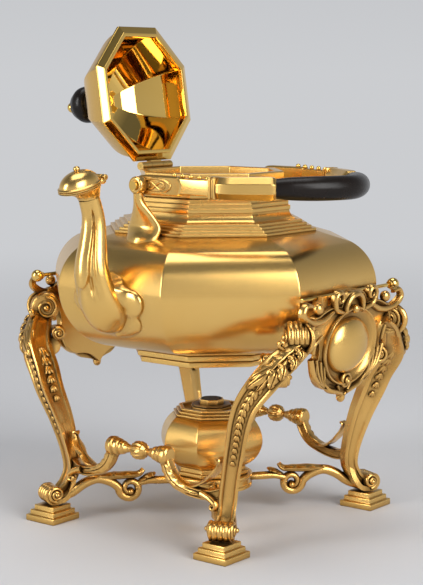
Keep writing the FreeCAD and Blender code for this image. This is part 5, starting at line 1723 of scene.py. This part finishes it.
    def _sides(self) -> list[tuple[Line, Line]]:
        """The middle lines of the post's two sides, each with its outward way.

        Returns:
            A line and a vector for each side.
        """
        rows, _ = self._between(self.side_heights)
        share, more = self.side_out
        ways = [hand * self._front()[1] for hand in HANDS]
        return [(rows[:, :3] + way * (share * rows[:, 3:4] + more), way) for way in ways]

    def post_form(self) -> list[Form]:
        """The tapering post with its knee."""
        rows = spline(self.post, 8)
        return [swept(rows[:, :3], [self._cut(wide, deep) for wide, deep in rows[:, 3:]], self._front()[0])]

    def toe_forms(self) -> list[Form]:
        """The reeded scroll on the foot, with coiled ends.

        Returns:
            The forms of the toe.
        """
        out, across = self._front()
        board = Board((*self.centre, 0), out, Z_AXIS, across)
        path = curled(spline(self.toe, 8), self.toe_radius, self.toe_turns, 1, self.toe_eye)
        half = self.toe_width / 2
        spread = np.linspace(half, -half, 25)
        ribs = self.toe_reed * np.abs(np.cos(4 * math.pi * spread / self.toe_width))
        cuts = []
        for share in np.linspace(0, 1, len(path)):
            thick = np.interp(share, (0, 1), self.toe_sheet) / 2
            wide = min(1.0, self.toe_start[0] + self.toe_start[1] * share)
            front = np.stack([-thick - wide * ribs, wide * spread], axis=1)
            cuts.append(np.vstack([front, [(thick, -wide * half), (thick, wide * half)]]))
        forms = [swept(board.place(at_height(path, 0.0)), cuts, across)]
        eye = (self.toe[-1][0], self.toe[-1][1] + self.toe_radius)
        for hand in HANDS:
            end = board.place(np.array([*eye, hand * (half - self.toe_coil_in)]))
            forms.append(snail(Board(end, out, Z_AXIS, across * hand), *self.toe_coil))
        less, radius = self.toe_core
        core = [board.place(np.array([*eye, hand * (half - less)])) for hand in HANDS]
        return forms + [rod(*core, radius)]

    def knee_forms(self) -> list[Form]:
        """The roll under the knee, coiled at its outer end, and the volute on the leg's other side.

        Returns:
            The forms of the roll and the volute.
        """
        across = self._diagonal()[1]
        roll, coil = self.knee_ends
        forms = []
        for (x, y, z, radius, reach), hand in ((self.knee, 1), (self.volute, -1)):
            centre, way = np.array([x, y, z]), hand * across
            forms += [rod(centre - way * reach, centre + way * roll, radius - self.roll_less, self.roll_soft),
                      snail(self._roll_end(centre, hand, coil), radius, *self.knee_coil)]
        return forms

    def head_forms(self) -> list[Form]:
        """The roll at the top of the leg, with a coil at each end.

        Returns:
            The forms of the roll and its coils.
        """
        centre, half = np.array(self.head), self.head_width / 2
        reach = half * self._diagonal()[1]
        forms = [rod(centre - reach, centre + reach, self.head_radius - self.roll_less, self.roll_soft)]
        ends = [self._roll_end(centre, hand, half - self.head_coil_in) for hand in HANDS]
        return forms + [snail(end, *self.head_coil) for end in ends]

    def leaf_forms(self) -> list[Form]:
        """The leaf that lies over the knee: a middle blade with pairs of lobes spread from its vein.

        Returns:
            The forms of the leaf.
        """
        path, facing = self._face(self.leaf_heights)
        across = self._front()[1]
        forms = [leaf(path + self.leaf_lift * facing, facing, *self.blade)]
        last = len(path) - 1
        for start, length, spread in self.lobes:
            spots = [round(last * min(1.0, start + length * t)) for t, _, _ in self.lobe_line]
            for hand in HANDS:
                places = [path[spot] + hand * across * spread * out + facing[spot] * rise
                          for spot, (_, out, rise) in zip(spots, self.lobe_line)]
                lean = facing[spots[1]] + self.lobe_lean * hand * across
                forms.append(leaf(spline(places, 6), lean, *self.lobe))
        return forms

    def brow_forms(self) -> list[Form]:
        """The rim that runs round the roll and ends in a small curl on the leaf.

        Returns:
            The forms of the rim.
        """
        out, across = self._diagonal()
        drawn = curled(spline(self.brow, 6), *self.brow_curl)
        proud, least = self.brow_proud
        reach = np.sqrt(np.maximum((self.head_radius + proud) ** 2 - drawn[:, 1] ** 2, least ** 2))
        path = Board(self.head, across, Z_AXIS, out).place(at_height(drawn, reach))
        sizes = np.interp(np.linspace(0, 1, len(path)), *self.brow_widths)
        return [swept(path, [cut_across(Section.ROUND, size, self.brow_height) for size in sizes], out)]

    def husk_form(self) -> Form:
        """A bell-shaped bud of three petals.

        Returns:
            The bud as one form.
        """
        petal = ball((0, 0, 0), self.petal, 8)
        turn, back = self.petal_spread
        out = self.petal[1]
        return joined([petal] + [petal.turned(hand * turn, X_AXIS).moved((-back, -hand * out, -back))
                                 for hand in HANDS])

    def reed_form(self) -> Form:
        """One reed bent over the roll.

        Returns:
            The reed as one form.
        """
        radius = self.head_radius - self.reed_in
        path = at_height(oval(np.radians(np.linspace(*self.reed_bend, 22)), radius, -radius), 0.0)
        wide, high = self.reed_size
        widths = wide * np.minimum(1, np.linspace(0.4, 3.2, 22))
        return swept(path, [cut_across(Section.ROUND, width, high) for width in widths], unit(path))

    def build(self, bench: Bench, rows: RowMaker) -> None:
        """Makes and dresses the legs and their feet.

        Args:
            bench: makes and dresses the pieces.
            rows: makes the rows of repeats.
        """
        forms = self.post_form() + self.toe_forms() + self.knee_forms()
        forms += self.head_forms() + self.brow_forms()
        for quarter, form in four_ways(forms).items():
            bench.piece(f"leg {quarter}", [form], GILT_CAST, "stand", [f"leg_{quarter}"])
        for quarter, form in four_ways(self.leaf_forms()).items():
            bench.piece(f"knee leaf {quarter}", [form], GILT_CAST, "stand", crease=70)
        plinth = stepped_square(self.centre, self.plinth_side, self.plinth_step, self.plinth_heights,
                                self.plinth_soft)
        for quarter, form in four_ways([plinth]).items():
            bench.piece(f"plinth {quarter}", [form], GILT_SATIN, "stand", [f"foot_{quarter}"])
        path, facing = self._face(self.husk_heights)
        chains, sides, rolls = [], [], []
        reach = self._diagonal()[1] * (self.head_width / 2 - self.reed_row_in)
        axle = np.linspace(self.head + reach, self.head - reach, 4)
        for along in HANDS:
            for side in HANDS:
                way = np.array([along, side, 1])
                chains.append(((path - self.husk_sunk * facing) * way, facing * way))
                sides += [(line * way, outward * way) for line, outward in self._sides()]
                rolls.append((axle[::along * side] * way, UP))
        for name, lines, form, count, sizes in (
            ("leg husks", chains, self.husk_form(), self.husks, self.husk_sizes),
            ("leg side husks", sides, self.husk_form(), self.side_husks, self.side_husk_sizes),
            ("head reeds", rolls, self.reed_form(), self.reeds, (1.0, 1.0)),
        ):
            rows.row(name, lines, form, count, sizes, GILT_CAST, "stand")


@dataclass(frozen=True)
class Stroke:
    """A half-round scroll of a cartouche's right half, repeated on its left."""

    places: tuple
    sizes: tuple
    lift: float
    steps: int = 7
    curl: Pair | None = None

    def forms(self, board: Board) -> list[Form]:
        """The scroll and its mirror image on a board.

        Args:
            board: the board to draw on.

        Returns:
            Both scrolls.
        """
        made = []
        for hand in HANDS:
            line = spline(self.places, self.steps) * (hand, 1)
            line = curled(line, *self.curl, hand) if self.curl else line
            made.append(scroll(board, line, Section.HALF_ROUND, self.sizes, self.lift))
        return made


@dataclass
class Cartouches:
    """The two shield-shaped plates between the legs, with bosses and scrolls; the right one is drawn."""

    origin: Triple = (0.0, 99.54, 144.0)
    lean: float = 7.4
    edge: tuple = ((0.0, 2.5), ((8.0, 1.5), (13.0, -5.5)), ((24.0, -5.0), (35.0, -8.5)),
                   ((41.0, -13.5), (36.0, -18.5)), ((31.0, -27.0), (32.0, -36.0)),
                   ((29.0, -47.0), (17.0, -53.0)), ((8.0, -55.0), (0.0, -61.0)))
    relief: tuple = ((0.0, -3.0, 1.0), (0.0, -0.2, 2.6), (0.0, 0.8, 2.7), (0.0, 2.2, 3.0), (0.0, 3.6, 3.8),
                     (0.0, 4.6, 5.0), (0.0, 5.2, 6.0), (0.0, 5.9, 6.1), (0.0, 6.4, 5.4), (0.0, 6.6, 3.6),
                     (0.4, 6.6, 2.7), (0.7, 6.6, 3.0), (0.82, 6.6, 4.0), (0.9, 6.6, 4.9), (0.96, 6.6, 4.8),
                     (1.0, 6.6, 3.9), (1.0, 6.6, 0.4), (0.97, 6.6, 0.0),
                     (0.0, -3.0, 0.0))  # share of the way to the edge, growth of the oval, height
    boss_centre: Pair = (0.0, -29.5)
    boss_half: Pair = (19.5, 16.5)
    boss_heights: Triple = (1.2, 2.4, 10.5)  # seat, edge and middle
    arch: tuple = ((-8.2, -9.4), ((0.0, 1.0), (8.2, -9.4)))
    arch_sizes: tuple = ((3.0, 3.0), (4.0, 4.2), (3.0, 3.0))
    arch_lift: float = 3.2
    balls: tuple = (((0.0, -7.6, 5.4), (2.6, 2.6, 2.6)), ((34.0, -4.6, 3.0), (3.4, 3.4, 3.0)),
                    ((-34.0, -4.6, 3.0), (3.4, 3.4, 3.0)), ((0.0, -60.4, 2.6), (2.6, 3.0, 2.6)))
    strokes: tuple[Stroke, ...] = (
        Stroke(((8.6, -9.6), (12.6, -8.6), (18.4, -6.4), (20.4, -2.0)),
               ((2.6, 2.4), (3.6, 3.4), (3.2, 3.6), (1.6, 2.8)), 3.2, curl=(4.4, 1.2)),
        Stroke(((20.0, -7.6), (30.0, -11.5), (42.0, -11.0), (49.5, -6.2), (47.0, -1.5), (41.0, -2.2)),
               ((3.0, 2.6), (4.6, 3.8), (4.4, 3.8), (2.4, 2.6)), 2.6),
        Stroke(((37.5, -13.0), (39.0, -18.0), (35.5, -23.0), (34.5, -30.0)),
               ((3.0, 2.6), (4.0, 3.4), (2.2, 2.2)), 2.4),
        Stroke(((21.0, -49.0), (15.0, -53.6), (8.6, -55.6), (2.4, -57.4)),
               ((2.2, 2.4), (3.6, 3.4), (2.8, 3.0)), 2.6),
        Stroke(((6.6, -52.0), (3.4, -57.2), (0.0, -59.8)), ((2.4, 2.4), (2.2, 2.4)), 2.4, steps=6),
    )
    rib_foot: Pair = (20.0, -52.0)
    ribs: tuple = ((36.0, -33.0, 3.2, 3.4), (31.6, -33.6, 2.4, 3.0), (27.2, -35.4, 1.6, 2.8),
                   (23.4, -38.0, 0.8, 2.4))  # end, bend and size
    rib_sizes: tuple = ((0.0, 1.8, 2.0), (1.0, 0.0, 3.4), (0.9, 0.0, 2.6))  # share of the size, more, height
    rib_lift: float = 2.4
    rib_sag: float = 0.4
    volute_at: Triple = (0.0, -50.2, 3.6)
    volute: tuple = (6.4, 2.2, 3.0, -1, 190, 1.6)  # radius, rise, wire, hand, start and turns
    cradle: tuple = ((93.99, 135.0), (101.04, 135.0), (101.04, 145.2), (97.5, 145.2), (97.5, 144.0),
                     ((96.24, 142.75), (94.99, 144.0)), (94.99, 145.2), (93.99, 145.2))
    cradle_at: Many = (26.0, -26.0)
    cradle_width: float = 5.0
    cradle_soft: float = 0.25

    def board(self) -> Board:
        """The leaning plane of the plate's back.

        Returns:
            The board to draw the plate on.
        """
        lean = math.radians(self.lean)
        return Board(self.origin, X_AXIS, (0, math.sin(lean), math.cos(lean)),
                     (0, math.cos(lean), -math.sin(lean)))

    def plate(self) -> list[Form]:
        """The plate: a frame round the boss, a hollow, and a raised rim that follows the edge.

        Returns:
            The forms of the plate.
        """
        edge = both_sides(outline(self.edge, arc_points=14))
        centre, half = np.array(self.boss_centre), np.array(self.boss_half)
        ways = (edge - centre) / half
        angles = np.arctan2(ways[:, 1], ways[:, 0])
        rows = []
        for share, grow, height in self.relief:
            frame = centre + oval(angles, *(half + grow))
            rows.append(at_height(frame + share * (edge - frame), height))
        return [skin(self.board().place(np.array(rows)), loop=True)]

    def boss(self) -> list[Form]:
        """The plain oval boss.

        Returns:
            The forms of the boss.
        """
        seat, low, high = self.boss_heights
        dome = [(math.cos(a), low + (high - low) * math.sin(a)) for a in np.radians(np.linspace(0, 90, 16))]
        edge = oval(full_turn(72), *self.boss_half)
        rows = [at_height(self.boss_centre + share * edge, height) for share, height in [(1.0, seat), *dome]]
        return [skin(self.board().place(np.array(rows)))]

    def scrolls(self) -> list[Form]:
        """The crest's arch, scrolls beside and below it, ribs that fan up, beads and a volute.

        Returns:
            The forms of the scrolls.
        """
        board = self.board()
        arch = outline(self.arch, arc_points=24)
        forms = [scroll(board, arch, Section.HALF_ROUND, self.arch_sizes, self.arch_lift)]
        forms += [board.form(ball(place, radii, 20)) for place, radii in self.balls]
        x, y = self.rib_foot
        ribs = [Stroke(((x, y), ((x + u) / 2 + bend, (y + v) / 2 - self.rib_sag * bend), (u, v)),
                       tuple((share * size + more, high) for share, more, high in self.rib_sizes),
                       self.rib_lift, steps=8)
                for u, v, bend, size in self.ribs]
        for stroke in (*self.strokes, *ribs):
            forms += stroke.forms(board)
        middle = Board(board.place(np.array(self.volute_at)), board.u, board.v, board.w)
        return forms + [snail(middle, *self.volute)]

    def cradles(self) -> list[Form]:
        """The open hooks behind the plate in which the pins lie.

        Returns:
            A form for each hook.
        """
        drawn = outline(self.cradle, arc_points=8)
        return [slab(Board((x - self.cradle_width / 2, 0, 0)), drawn, self.cradle_width, self.cradle_soft)
                for x in self.cradle_at]

    def build(self, bench: Bench) -> None:
        """Makes and dresses both cartouches.

        Args:
            bench: makes and dresses the pieces.
        """
        plate, boss, scrolls = (joined(forms) for forms in (
            self.plate() + self.cradles(), self.boss(), self.scrolls()))
        for side in ("right", "left"):
            if side == "left":
                plate, boss, scrolls = (form.mirrored(1) for form in (plate, boss, scrolls))
            bench.piece(f"cartouche {side}", [plate], GILT_CAST, "stand", [f"cartouche_{side}"])
            bench.piece(f"boss {side}", [boss], GILT_SATIN, "stand", [f"boss_{side}"])
            bench.piece(f"cartouche scrolls {side}", [scrolls], GILT_CAST, "stand")


@dataclass
class Stretchers:
    """The rails between the legs of the front and of the back: a baluster and two scrolled arms."""

    x: float = 67.0
    z: float = 51.0
    baluster: tuple = ((0.0, -23.4), (4.2, -23.4), (5.6, -22.0), (5.8, -18.8), (4.8, -18.1), (4.8, -17.4),
                       (5.2, -16.8), (4.9, -14.9), (4.0, -14.3), (4.0, -13.6), (4.2, -12.6), (3.6, -11.0),
                       (2.9, -10.5), (2.6, -8.4), (1.8, -6.6), (2.2, -5.4), (4.5, -3.6), (5.2, 0.0))
    baluster_soft: float = 0.5
    flutes: int = 12
    flute_depth: float = 0.09
    flute_length: float = 4.2
    flute_from: float = 2.4
    arm: tuple = ((16.0, 0.6, 6.0), (19.2, -0.6, 6.6), (21.4, -5.6, 6.6), (24.0, -10.4, 6.4),
                  (28.4, -14.4, 6.2), (34.8, -17.0, 6.0), (42.4, -18.6, 6.0), (50.4, -18.8, 6.2),
                  (56.0, -17.4, 6.2), (58.6, -16.4, 5.6))  # y, height and depth of the bar
    thickness: float = 5.6
    panel: tuple = ((0.66, 0.0), (0.5, 0.7), (0.0, 0.8))  # share of the height, depth
    arm_edge: Pair = (0.5, 0.6)
    turn_in: Triple = (26.0, 58.0, -6.4)  # from, to and how far
    face_leaf: Triple = (3.4, 6, 1.0)
    face_rows: tuple[int, int] = (8, 52)
    face_sunk: float = 0.2
    tip: tuple = ((33.0, -16.0), (42.0, -14.0), (48.6, -9.6), (53.2, -4.6), (56.0, 0.5))
    tip_curl: Triple = (1.7, 0.6, 1)
    tip_leaf: Triple = (4.4, 3, 1.5)
    tip_lean: Pair = (-1.0, -5.5)
    branch: tuple = ((46.0, -18.2), (51.5, -20.0), (55.4, -22.4))
    branch_curl: Triple = (2.4, 1.1, -1)
    branch_sizes: tuple = ((4.4, 4.6), (3.4, 4.2), (1.6, 3.2))

    def baluster_form(self) -> Form:
        """The turned middle with a gadrooned ball.

        Returns:
            The middle as one form.
        """
        half = np.array(self.baluster)
        profile = np.vstack([half, (half * (1, -1))[-2::-1]])
        form = round_form(softened(profile, self.baluster_soft, loop=False), 48)
        x, y, z = form.points.T
        near = np.exp(-(z / self.flute_length) ** 6) * (np.hypot(x, y) > self.flute_from)
        scale = 1 + self.flute_depth * near * np.cos(self.flutes * np.arctan2(y, x))
        form.points[:, :2] *= scale[:, None]
        return form.turned(90, X_AXIS).moved((self.x, 0, self.z))

    def arm_forms(self) -> list[Form]:
        """The scrolled arm on the right, with its leaves.

        Returns:
            The forms of the arm.
        """
        board = Board((self.x, 0, self.z))
        rows = spline(self.arm, 8)
        start, end, most = self.turn_in
        inward = most * np.clip((rows[:, 0] - start) / (end - start), 0, 1) ** 2
        path = board.place(at_height(rows[:, :2], inward))
        forms = [swept(path, [self._cut(high) for high in rows[:, 2]], X_AXIS)]
        face = board.place(at_height(rows[:, :2], inward + self.thickness / 2 - self.face_sunk))
        forms.append(leaf(face[slice(*self.face_rows)], X_AXIS, *self.face_leaf))
        tip = curled(spline(self.tip, 8), *self.tip_curl)
        ways = unit(np.gradient(tip, axis=0))
        facing = np.column_stack([0 * tip[:, 0], -ways[:, 1], ways[:, 0]])
        lean = np.interp(tip[:, 0], (self.tip[0][0], self.tip[-1][0]), self.tip_lean)
        forms.append(leaf(board.place(at_height(tip, lean)), facing, *self.tip_leaf))
        branch = curled(spline(self.branch, 7), *self.branch_curl)
        return forms + [scroll(board, branch, Section.ROUND, self.branch_sizes)]

    def _cut(self, high: float) -> Line:
        """The arm's cut: a bar with a sunk face on both sides.

        Args:
            high: the bar's height.

        Returns:
            Rows of two numbers, up and across.
        """
        h, t = high / 2, self.thickness / 2
        across, down = self.arm_edge
        quarter = [(h, 0.0), (h, t - down), (h - across, t)] + [(s * h, t - sunk) for s, sunk in self.panel]
        right = quarter + [(-x, y) for x, y in quarter[-2::-1]]
        return np.array(right + [(x, -y) for x, y in right[-2:0:-1]])

    def build(self, bench: Bench) -> None:
        """Makes and dresses both rails.

        Args:
            bench: makes and dresses the pieces.
        """
        middle = self.baluster_form()
        for side, form in (("front", middle), ("back", middle.mirrored(0))):
            bench.piece(f"baluster {side}", [form], GILT_CAST, "stand", [f"baluster_{side}"], crease=60)
        for quarter, form in four_ways(self.arm_forms()).items():
            bench.piece(f"stretcher {quarter}", [form], GILT_CAST, "stand", [f"stretcher_{quarter}"])


@dataclass
class LampArms:
    """The four scrolled arms that carry the lamp's ring."""

    angle: float = 41.8
    main: tuple = ((95.0, 12.5), (86.0, 16.0), (78.0, 21.5), (70.0, 24.0), (62.0, 21.5), (57.6, 18.0),
                   (56.7, 15.5))
    main_sizes: tuple = ((5.4, 6.6), (6.2, 7.0), (5.6, 6.4), (4.6, 6.0), (3.2, 5.4))
    curl: float = 6.6
    curl_turns: float = 1.3
    curl_eye: float = 0.34
    inner: tuple = ((46.0, 20.0), (39.0, 21.6), (31.0, 21.6), (21.0, 21.4))
    inner_sizes: tuple = ((3.8, 5.4), (5.0, 5.8), (4.8, 5.8))
    over: tuple = ((72.0, 24.0), (62.0, 24.8), (53.0, 24.8), (45.0, 25.2), (41.6, 28.4))
    over_sizes: tuple = ((4.4, 5.8), (4.2, 5.4), (3.2, 4.6), (1.8, 3.4))
    small: tuple = ((44.0, 20.6), (39.0, 23.2), (35.4, 24.2), (34.0, 25.8))
    leaf_widths: Pair = (4.4, 3.6)
    leaf_lobes: int = 4
    leaf_crown: float = 1.6
    leaf_lift: float = 1.4
    eye: Triple = (2.4, 2.4, 4.0)
    petal: Triple = (1.5, 1.5, 3.2)
    petal_out: float = 4.4
    petals_at: Many = (150.0, 215.0, 280.0)
    ring_sizes: Many = (19.0, 25.0, 17.5, 25.5)
    ring_band: Triple = (1.6, 2.4, 0.9)  # its edges' height, their slope's end, its depth
    ring_soft: float = 0.5

    def forms(self) -> list[Form]:
        """One arm: a branch that curls under, a bar on to the ring, and two leaves.

        Returns:
            The forms of the arm.
        """
        turn = math.radians(self.angle)
        board = Board((0, 0, 0), (math.cos(turn), math.sin(turn), 0.0), Z_AXIS,
                      (-math.sin(turn), math.cos(turn), 0.0))
        main = curled(spline(self.main, 7), self.curl, self.curl_turns, -1, self.curl_eye)
        made = [scroll(board, line, Section.ROUND, sizes) for line, sizes in (
            (main, self.main_sizes), (spline(self.inner, 6), self.inner_sizes),
            (spline(self.over, 6), self.over_sizes))]
        for line, wide in zip((self.over, self.small), self.leaf_widths):
            drawn = spline(line, 8)
            ways = unit(np.gradient(drawn, axis=0))
            facing = board.place(np.stack([ways[:, 1], -ways[:, 0]], axis=1))
            facing *= np.sign(facing[:, 2:] + TINY)
            vein = board.place(drawn) + self.leaf_lift * facing
            made.append(leaf(vein, facing, wide, self.leaf_lobes, self.leaf_crown))
        centre = np.array([self.main[-1][0] - self.curl, self.main[-1][1], 0.0])
        made.append(board.form(ball(centre, self.eye, 16)))
        for spot in at_height(oval(np.radians(self.petals_at), self.petal_out), 0.0):
            made.append(board.form(ball(centre + spot, self.petal, 12)))
        return made

    def ring(self) -> list[Form]:
        """The ring in which the lamp stands.

        Returns:
            The forms of the ring.
        """
        bore, radius, low, high = self.ring_sizes
        edge, slope, sunk = self.ring_band
        profile = [(bore, low), (radius, low), (radius, low + edge), (radius - sunk, low + slope),
                   (radius - sunk, high - slope), (radius, high - edge), (radius, high), (bore, high)]
        return [round_form(softened(profile, self.ring_soft), 64, loop=True)]

    def build(self, bench: Bench) -> None:
        """Makes and dresses the arms and the ring.

        Args:
            bench: makes and dresses the pieces.
        """
        for quarter, form in four_ways(self.forms()).items():
            bench.piece(f"lamp arm {quarter}", [form], GILT_CAST, "stand", [f"lamp_arm_{quarter}"])
        bench.piece("lamp ring", self.ring(), GILT_SATIN, "stand", ["lamp_ring"])


@dataclass
class Lamp:
    """The eight-sided spirit lamp with its burner."""

    foot: tuple = ((0.0, 20.1), (18.6, 20.1), (18.6, 25.6), (23.0, 25.6), (23.0, 28.3), (21.4, 28.3),
                   (21.4, 31.0), (0.0, 31.0))
    body: tuple = ((21.4, 31.0), ((28.8, 36.8), (32.2, 45.0)), ((30.4, 54.5), (24.3, 61.9)))
    well: Pair = (11.0, 52.0)
    collar: Many = (24.3, 22.6, 20.9)
    quirk: Pair = (0.8, 0.5)  # depth and height
    quirk_slope: float = 0.05
    collar_heights: Pair = (61.9, 66.9)
    recess: Triple = (13.2, 18.5, 64.5)  # inner and outer radius, and floor
    burner: tuple = ((0.0, 56.0), (10.5, 56.0), (10.5, 67.0), (12.5, 67.0), (12.5, 68.2), (0.0, 68.2))
    tube: tuple = ((0.0, 67.6), (7.7, 67.6), (7.9, 71.2), (6.7, 71.2), (6.7, 70.0), (0.0, 70.0))
    wick: tuple = ((0.0, 69.4), (6.6, 69.4), (6.6, 71.6), (0.0, 71.6))

    def _body_side(self) -> Line:
        """The outline of the lamp's body, with the well at its top.

        Returns:
            Rows of radius and height.
        """
        radius, low = self.well
        side = outline(self.body, arc_points=22)
        return np.vstack([[(0.0, side[0, 1])], side, [(radius, side[-1, 1]), (radius, low), (0.0, low)]])

    def _collar_side(self) -> list[Pair]:
        """The outline of the stepped collar, with a quirk under each step and a recess at its top.

        Returns:
            Pairs of radius and height.
        """
        bore, (height, high) = self.well[0], self.collar_heights
        step = (high - height) / len(self.collar)
        sunk, narrow = self.quirk
        drawn = [(bore, height)]
        for edge in self.collar:
            drawn += [(edge - sunk, height), (edge - sunk, height + narrow),
                      (edge, height + narrow + self.quirk_slope), (edge, height + step)]
            height += step
        inner, outer, deep = self.recess
        return drawn + [(outer, height), (outer, deep), (inner, deep), (inner, height), (bore, height)]

    def forms(self) -> dict[str, Form]:
        """The lamp's pieces by the CAD node's name.

        Returns:
            A form for each node.
        """
        sides = {
            "lamp_foot": (self.foot, 0.8, 0.5, False),
            "lamp_body": (self._body_side(), 0.4, 0.7, False),
            "lamp_collar": (self._collar_side(), 0.3, 0.5, True),
            "burner": (self.burner, 0.4, 0.4, False),
            "burner_tube": (self.tube, 0.3, 0.4, False),
        }
        made = {node: octagonal(softened(side, soft, loop), arris, loop)
                for node, (side, soft, arris, loop) in sides.items()}
        return made | {"wick": round_form(softened(self.wick, 0.8, loop=False), 20)}

    def build(self, bench: Bench) -> None:
        """Makes and dresses the lamp; the burner's tube replaces no node of its own.

        Args:
            bench: makes and dresses the pieces.
        """
        for node, form in self.forms().items():
            # The burner gets the gilt darkened as painted shade.
            finish = {"wick": COTTON, "burner": SHADED_BURNER_GILT}.get(node, GILT_SATIN)
            body = "burner" if node in ("wick", "burner", "burner_tube") else "lamp"
            bench.piece(f"{node} piece", [form], finish, body, [node] if node != "burner_tube" else [])


@dataclass
class Studio:
    """Camera, floor and plain soft light."""

    camera_at: Triple = (0.7617, 0.6051, 0.2674)
    look_at: Triple = (0.0, 0.0, 0.136209)
    lens: float = 99.89
    sensor: float = 36.0
    floor_radius: float = 9.0
    floor_points: int = 96
    floor_fade: Pair = (0.25, 1.6)
    floor_colour: Colour = (0.62, 0.62, 0.63, 1.0)
    floor_roughness: float = 0.7
    horizon: Colour = (0.60, 0.61, 0.63, 1.0)
    zenith: Colour = (0.13, 0.14, 0.16, 1.0)
    zenith_at: float = 0.75
    lights: tuple = (
        ("right soft box", (0.35, 2.2, 1.3), (1.5, 1.9), 55.0),
        ("left soft box", (2.3, -0.9, 1.0), (0.9, 1.8), 38.0),
        ("top soft box", (-0.2, -0.2, 2.4), (1.4, 1.4), 16.0),
    )

    def _aimed(self, name: str, data: bpy.types.ID, place: Sequence[float]) -> bpy.types.Object:
        """A camera or light at a place, turned to the object.

        Args:
            name: the name of the new object.
            data: what it holds.
            place: where it stands.

        Returns:
            The new object.
        """
        made = bpy.data.objects.new(name, data)
        bpy.context.scene.collection.objects.link(made)
        made.location = place
        way = Vector(self.look_at) - Vector(place)
        made.rotation_euler = way.to_track_quat("-Z", "Y").to_euler()
        return made

    def camera(self) -> None:
        """Sets the camera of the photo."""
        data = bpy.data.cameras.new("camera")
        data.lens = self.lens
        data.sensor_width = self.sensor
        bpy.context.scene.camera = self._aimed("camera", data, self.camera_at)

    def _floor_paint(self) -> bpy.types.Material:
        """The floor's material: to the camera and in reflections it fades into the horizon.

        Returns:
            The material.
        """
        paint = bpy.data.materials.new("pale floor")
        paint.use_nodes = True
        tree = paint.node_tree
        surface, output = tree.nodes["Principled BSDF"], tree.nodes["Material Output"]
        surface.inputs["Base Color"].default_value = self.floor_colour
        surface.inputs["Roughness"].default_value = self.floor_roughness
        place = add(tree, "ShaderNodeTexCoord")
        reach = add(tree, "ShaderNodeVectorMath", operation="LENGTH")
        near, far = self.floor_fade
        fade = add(tree, "ShaderNodeMapRange", {"From Min": near, "From Max": far},
                   interpolation_type="SMOOTHSTEP")
        light = add(tree, "ShaderNodeLightPath")
        seen, seen_through, share = (add(tree, "ShaderNodeMath", operation=operation)
                                     for operation in ("MAXIMUM", "MAXIMUM", "MULTIPLY"))
        pale = add(tree, "ShaderNodeEmission", {"Color": self.horizon})
        both = add(tree, "ShaderNodeMixShader")
        wire_up(tree, (
            (place, "Object", reach, 0), (reach, "Value", fade, "Value"), (light, "Is Camera Ray", seen, 0),
            (light, "Is Glossy Ray", seen, 1), (seen, 0, seen_through, 0),
            (light, "Is Transmission Ray", seen_through, 1), (fade, "Result", share, 0),
            (seen_through, 0, share, 1), (share, 0, both, 0), (surface, 0, both, 1), (pale, 0, both, 2),
            (both, 0, output, "Surface"),
        ))
        return paint

    def floor(self) -> None:
        """Lays a pale round floor that runs out into the colour of the horizon."""
        points = at_height(oval(full_turn(self.floor_points), self.floor_radius), 0.0)
        mesh = bpy.data.meshes.new("floor")
        mesh.from_pydata(points.tolist(), [], [tuple(range(self.floor_points))])
        made = bpy.data.objects.new("floor", mesh)
        bpy.context.scene.collection.objects.link(made)
        mesh.materials.append(self._floor_paint())

    def sky(self) -> None:
        """Surrounds the scene with a pale horizon that darkens upwards."""
        world = bpy.data.worlds.new("studio")
        world.use_nodes = True
        bpy.context.scene.world = world
        tree = world.node_tree
        place, part, ramp = (add(tree, "ShaderNode" + kind)
                             for kind in ("TexCoord", "SeparateXYZ", "ValToRGB"))
        low, high = ramp.color_ramp.elements
        low.position, low.color = 0.0, self.horizon
        high.position, high.color = self.zenith_at, self.zenith
        wire_up(tree, ((place, "Generated", part, "Vector"), (part, "Z", ramp, "Fac"),
                       (ramp, "Color", tree.nodes["Background"], "Color")))

    def lamps(self) -> None:
        """Hangs the soft boxes, turned to the object."""
        for name, place, size, power in self.lights:
            data = bpy.data.lights.new(name, "AREA")
            data.shape = "RECTANGLE"
            data.size, data.size_y = size
            data.energy = power
            self._aimed(name, data, place)

    def build(self) -> None:
        """Sets up the whole studio."""
        bpy.context.scene.view_settings.view_transform = "Standard"
        self.camera()
        self.floor()
        self.sky()
        self.lamps()


def main() -> None:
    """Builds the looks over the loaded frame."""
    logging.basicConfig(level=logging.INFO, format="%(name)s: %(message)s")
    for left in list(bpy.data.objects):
        bpy.data.objects.remove(left)
    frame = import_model()
    bench = Bench(frame, Shades())
    rows = RowMaker(bench)
    kettle = Kettle()
    spout = Spout(kettle)
    kettle.build(bench)
    spout.build(bench)
    SpoutCap(spout).build(bench)
    Lid().build(bench)
    Bail().build(bench, rows)
    LockingPins().build(bench)
    Legs().build(bench, rows)
    Cartouches().build(bench)
    Stretchers().build(bench)
    LampArms().build(bench)
    Lamp().build(bench)
    Studio().build()
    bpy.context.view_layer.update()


if __name__ == "__main__":
    main()
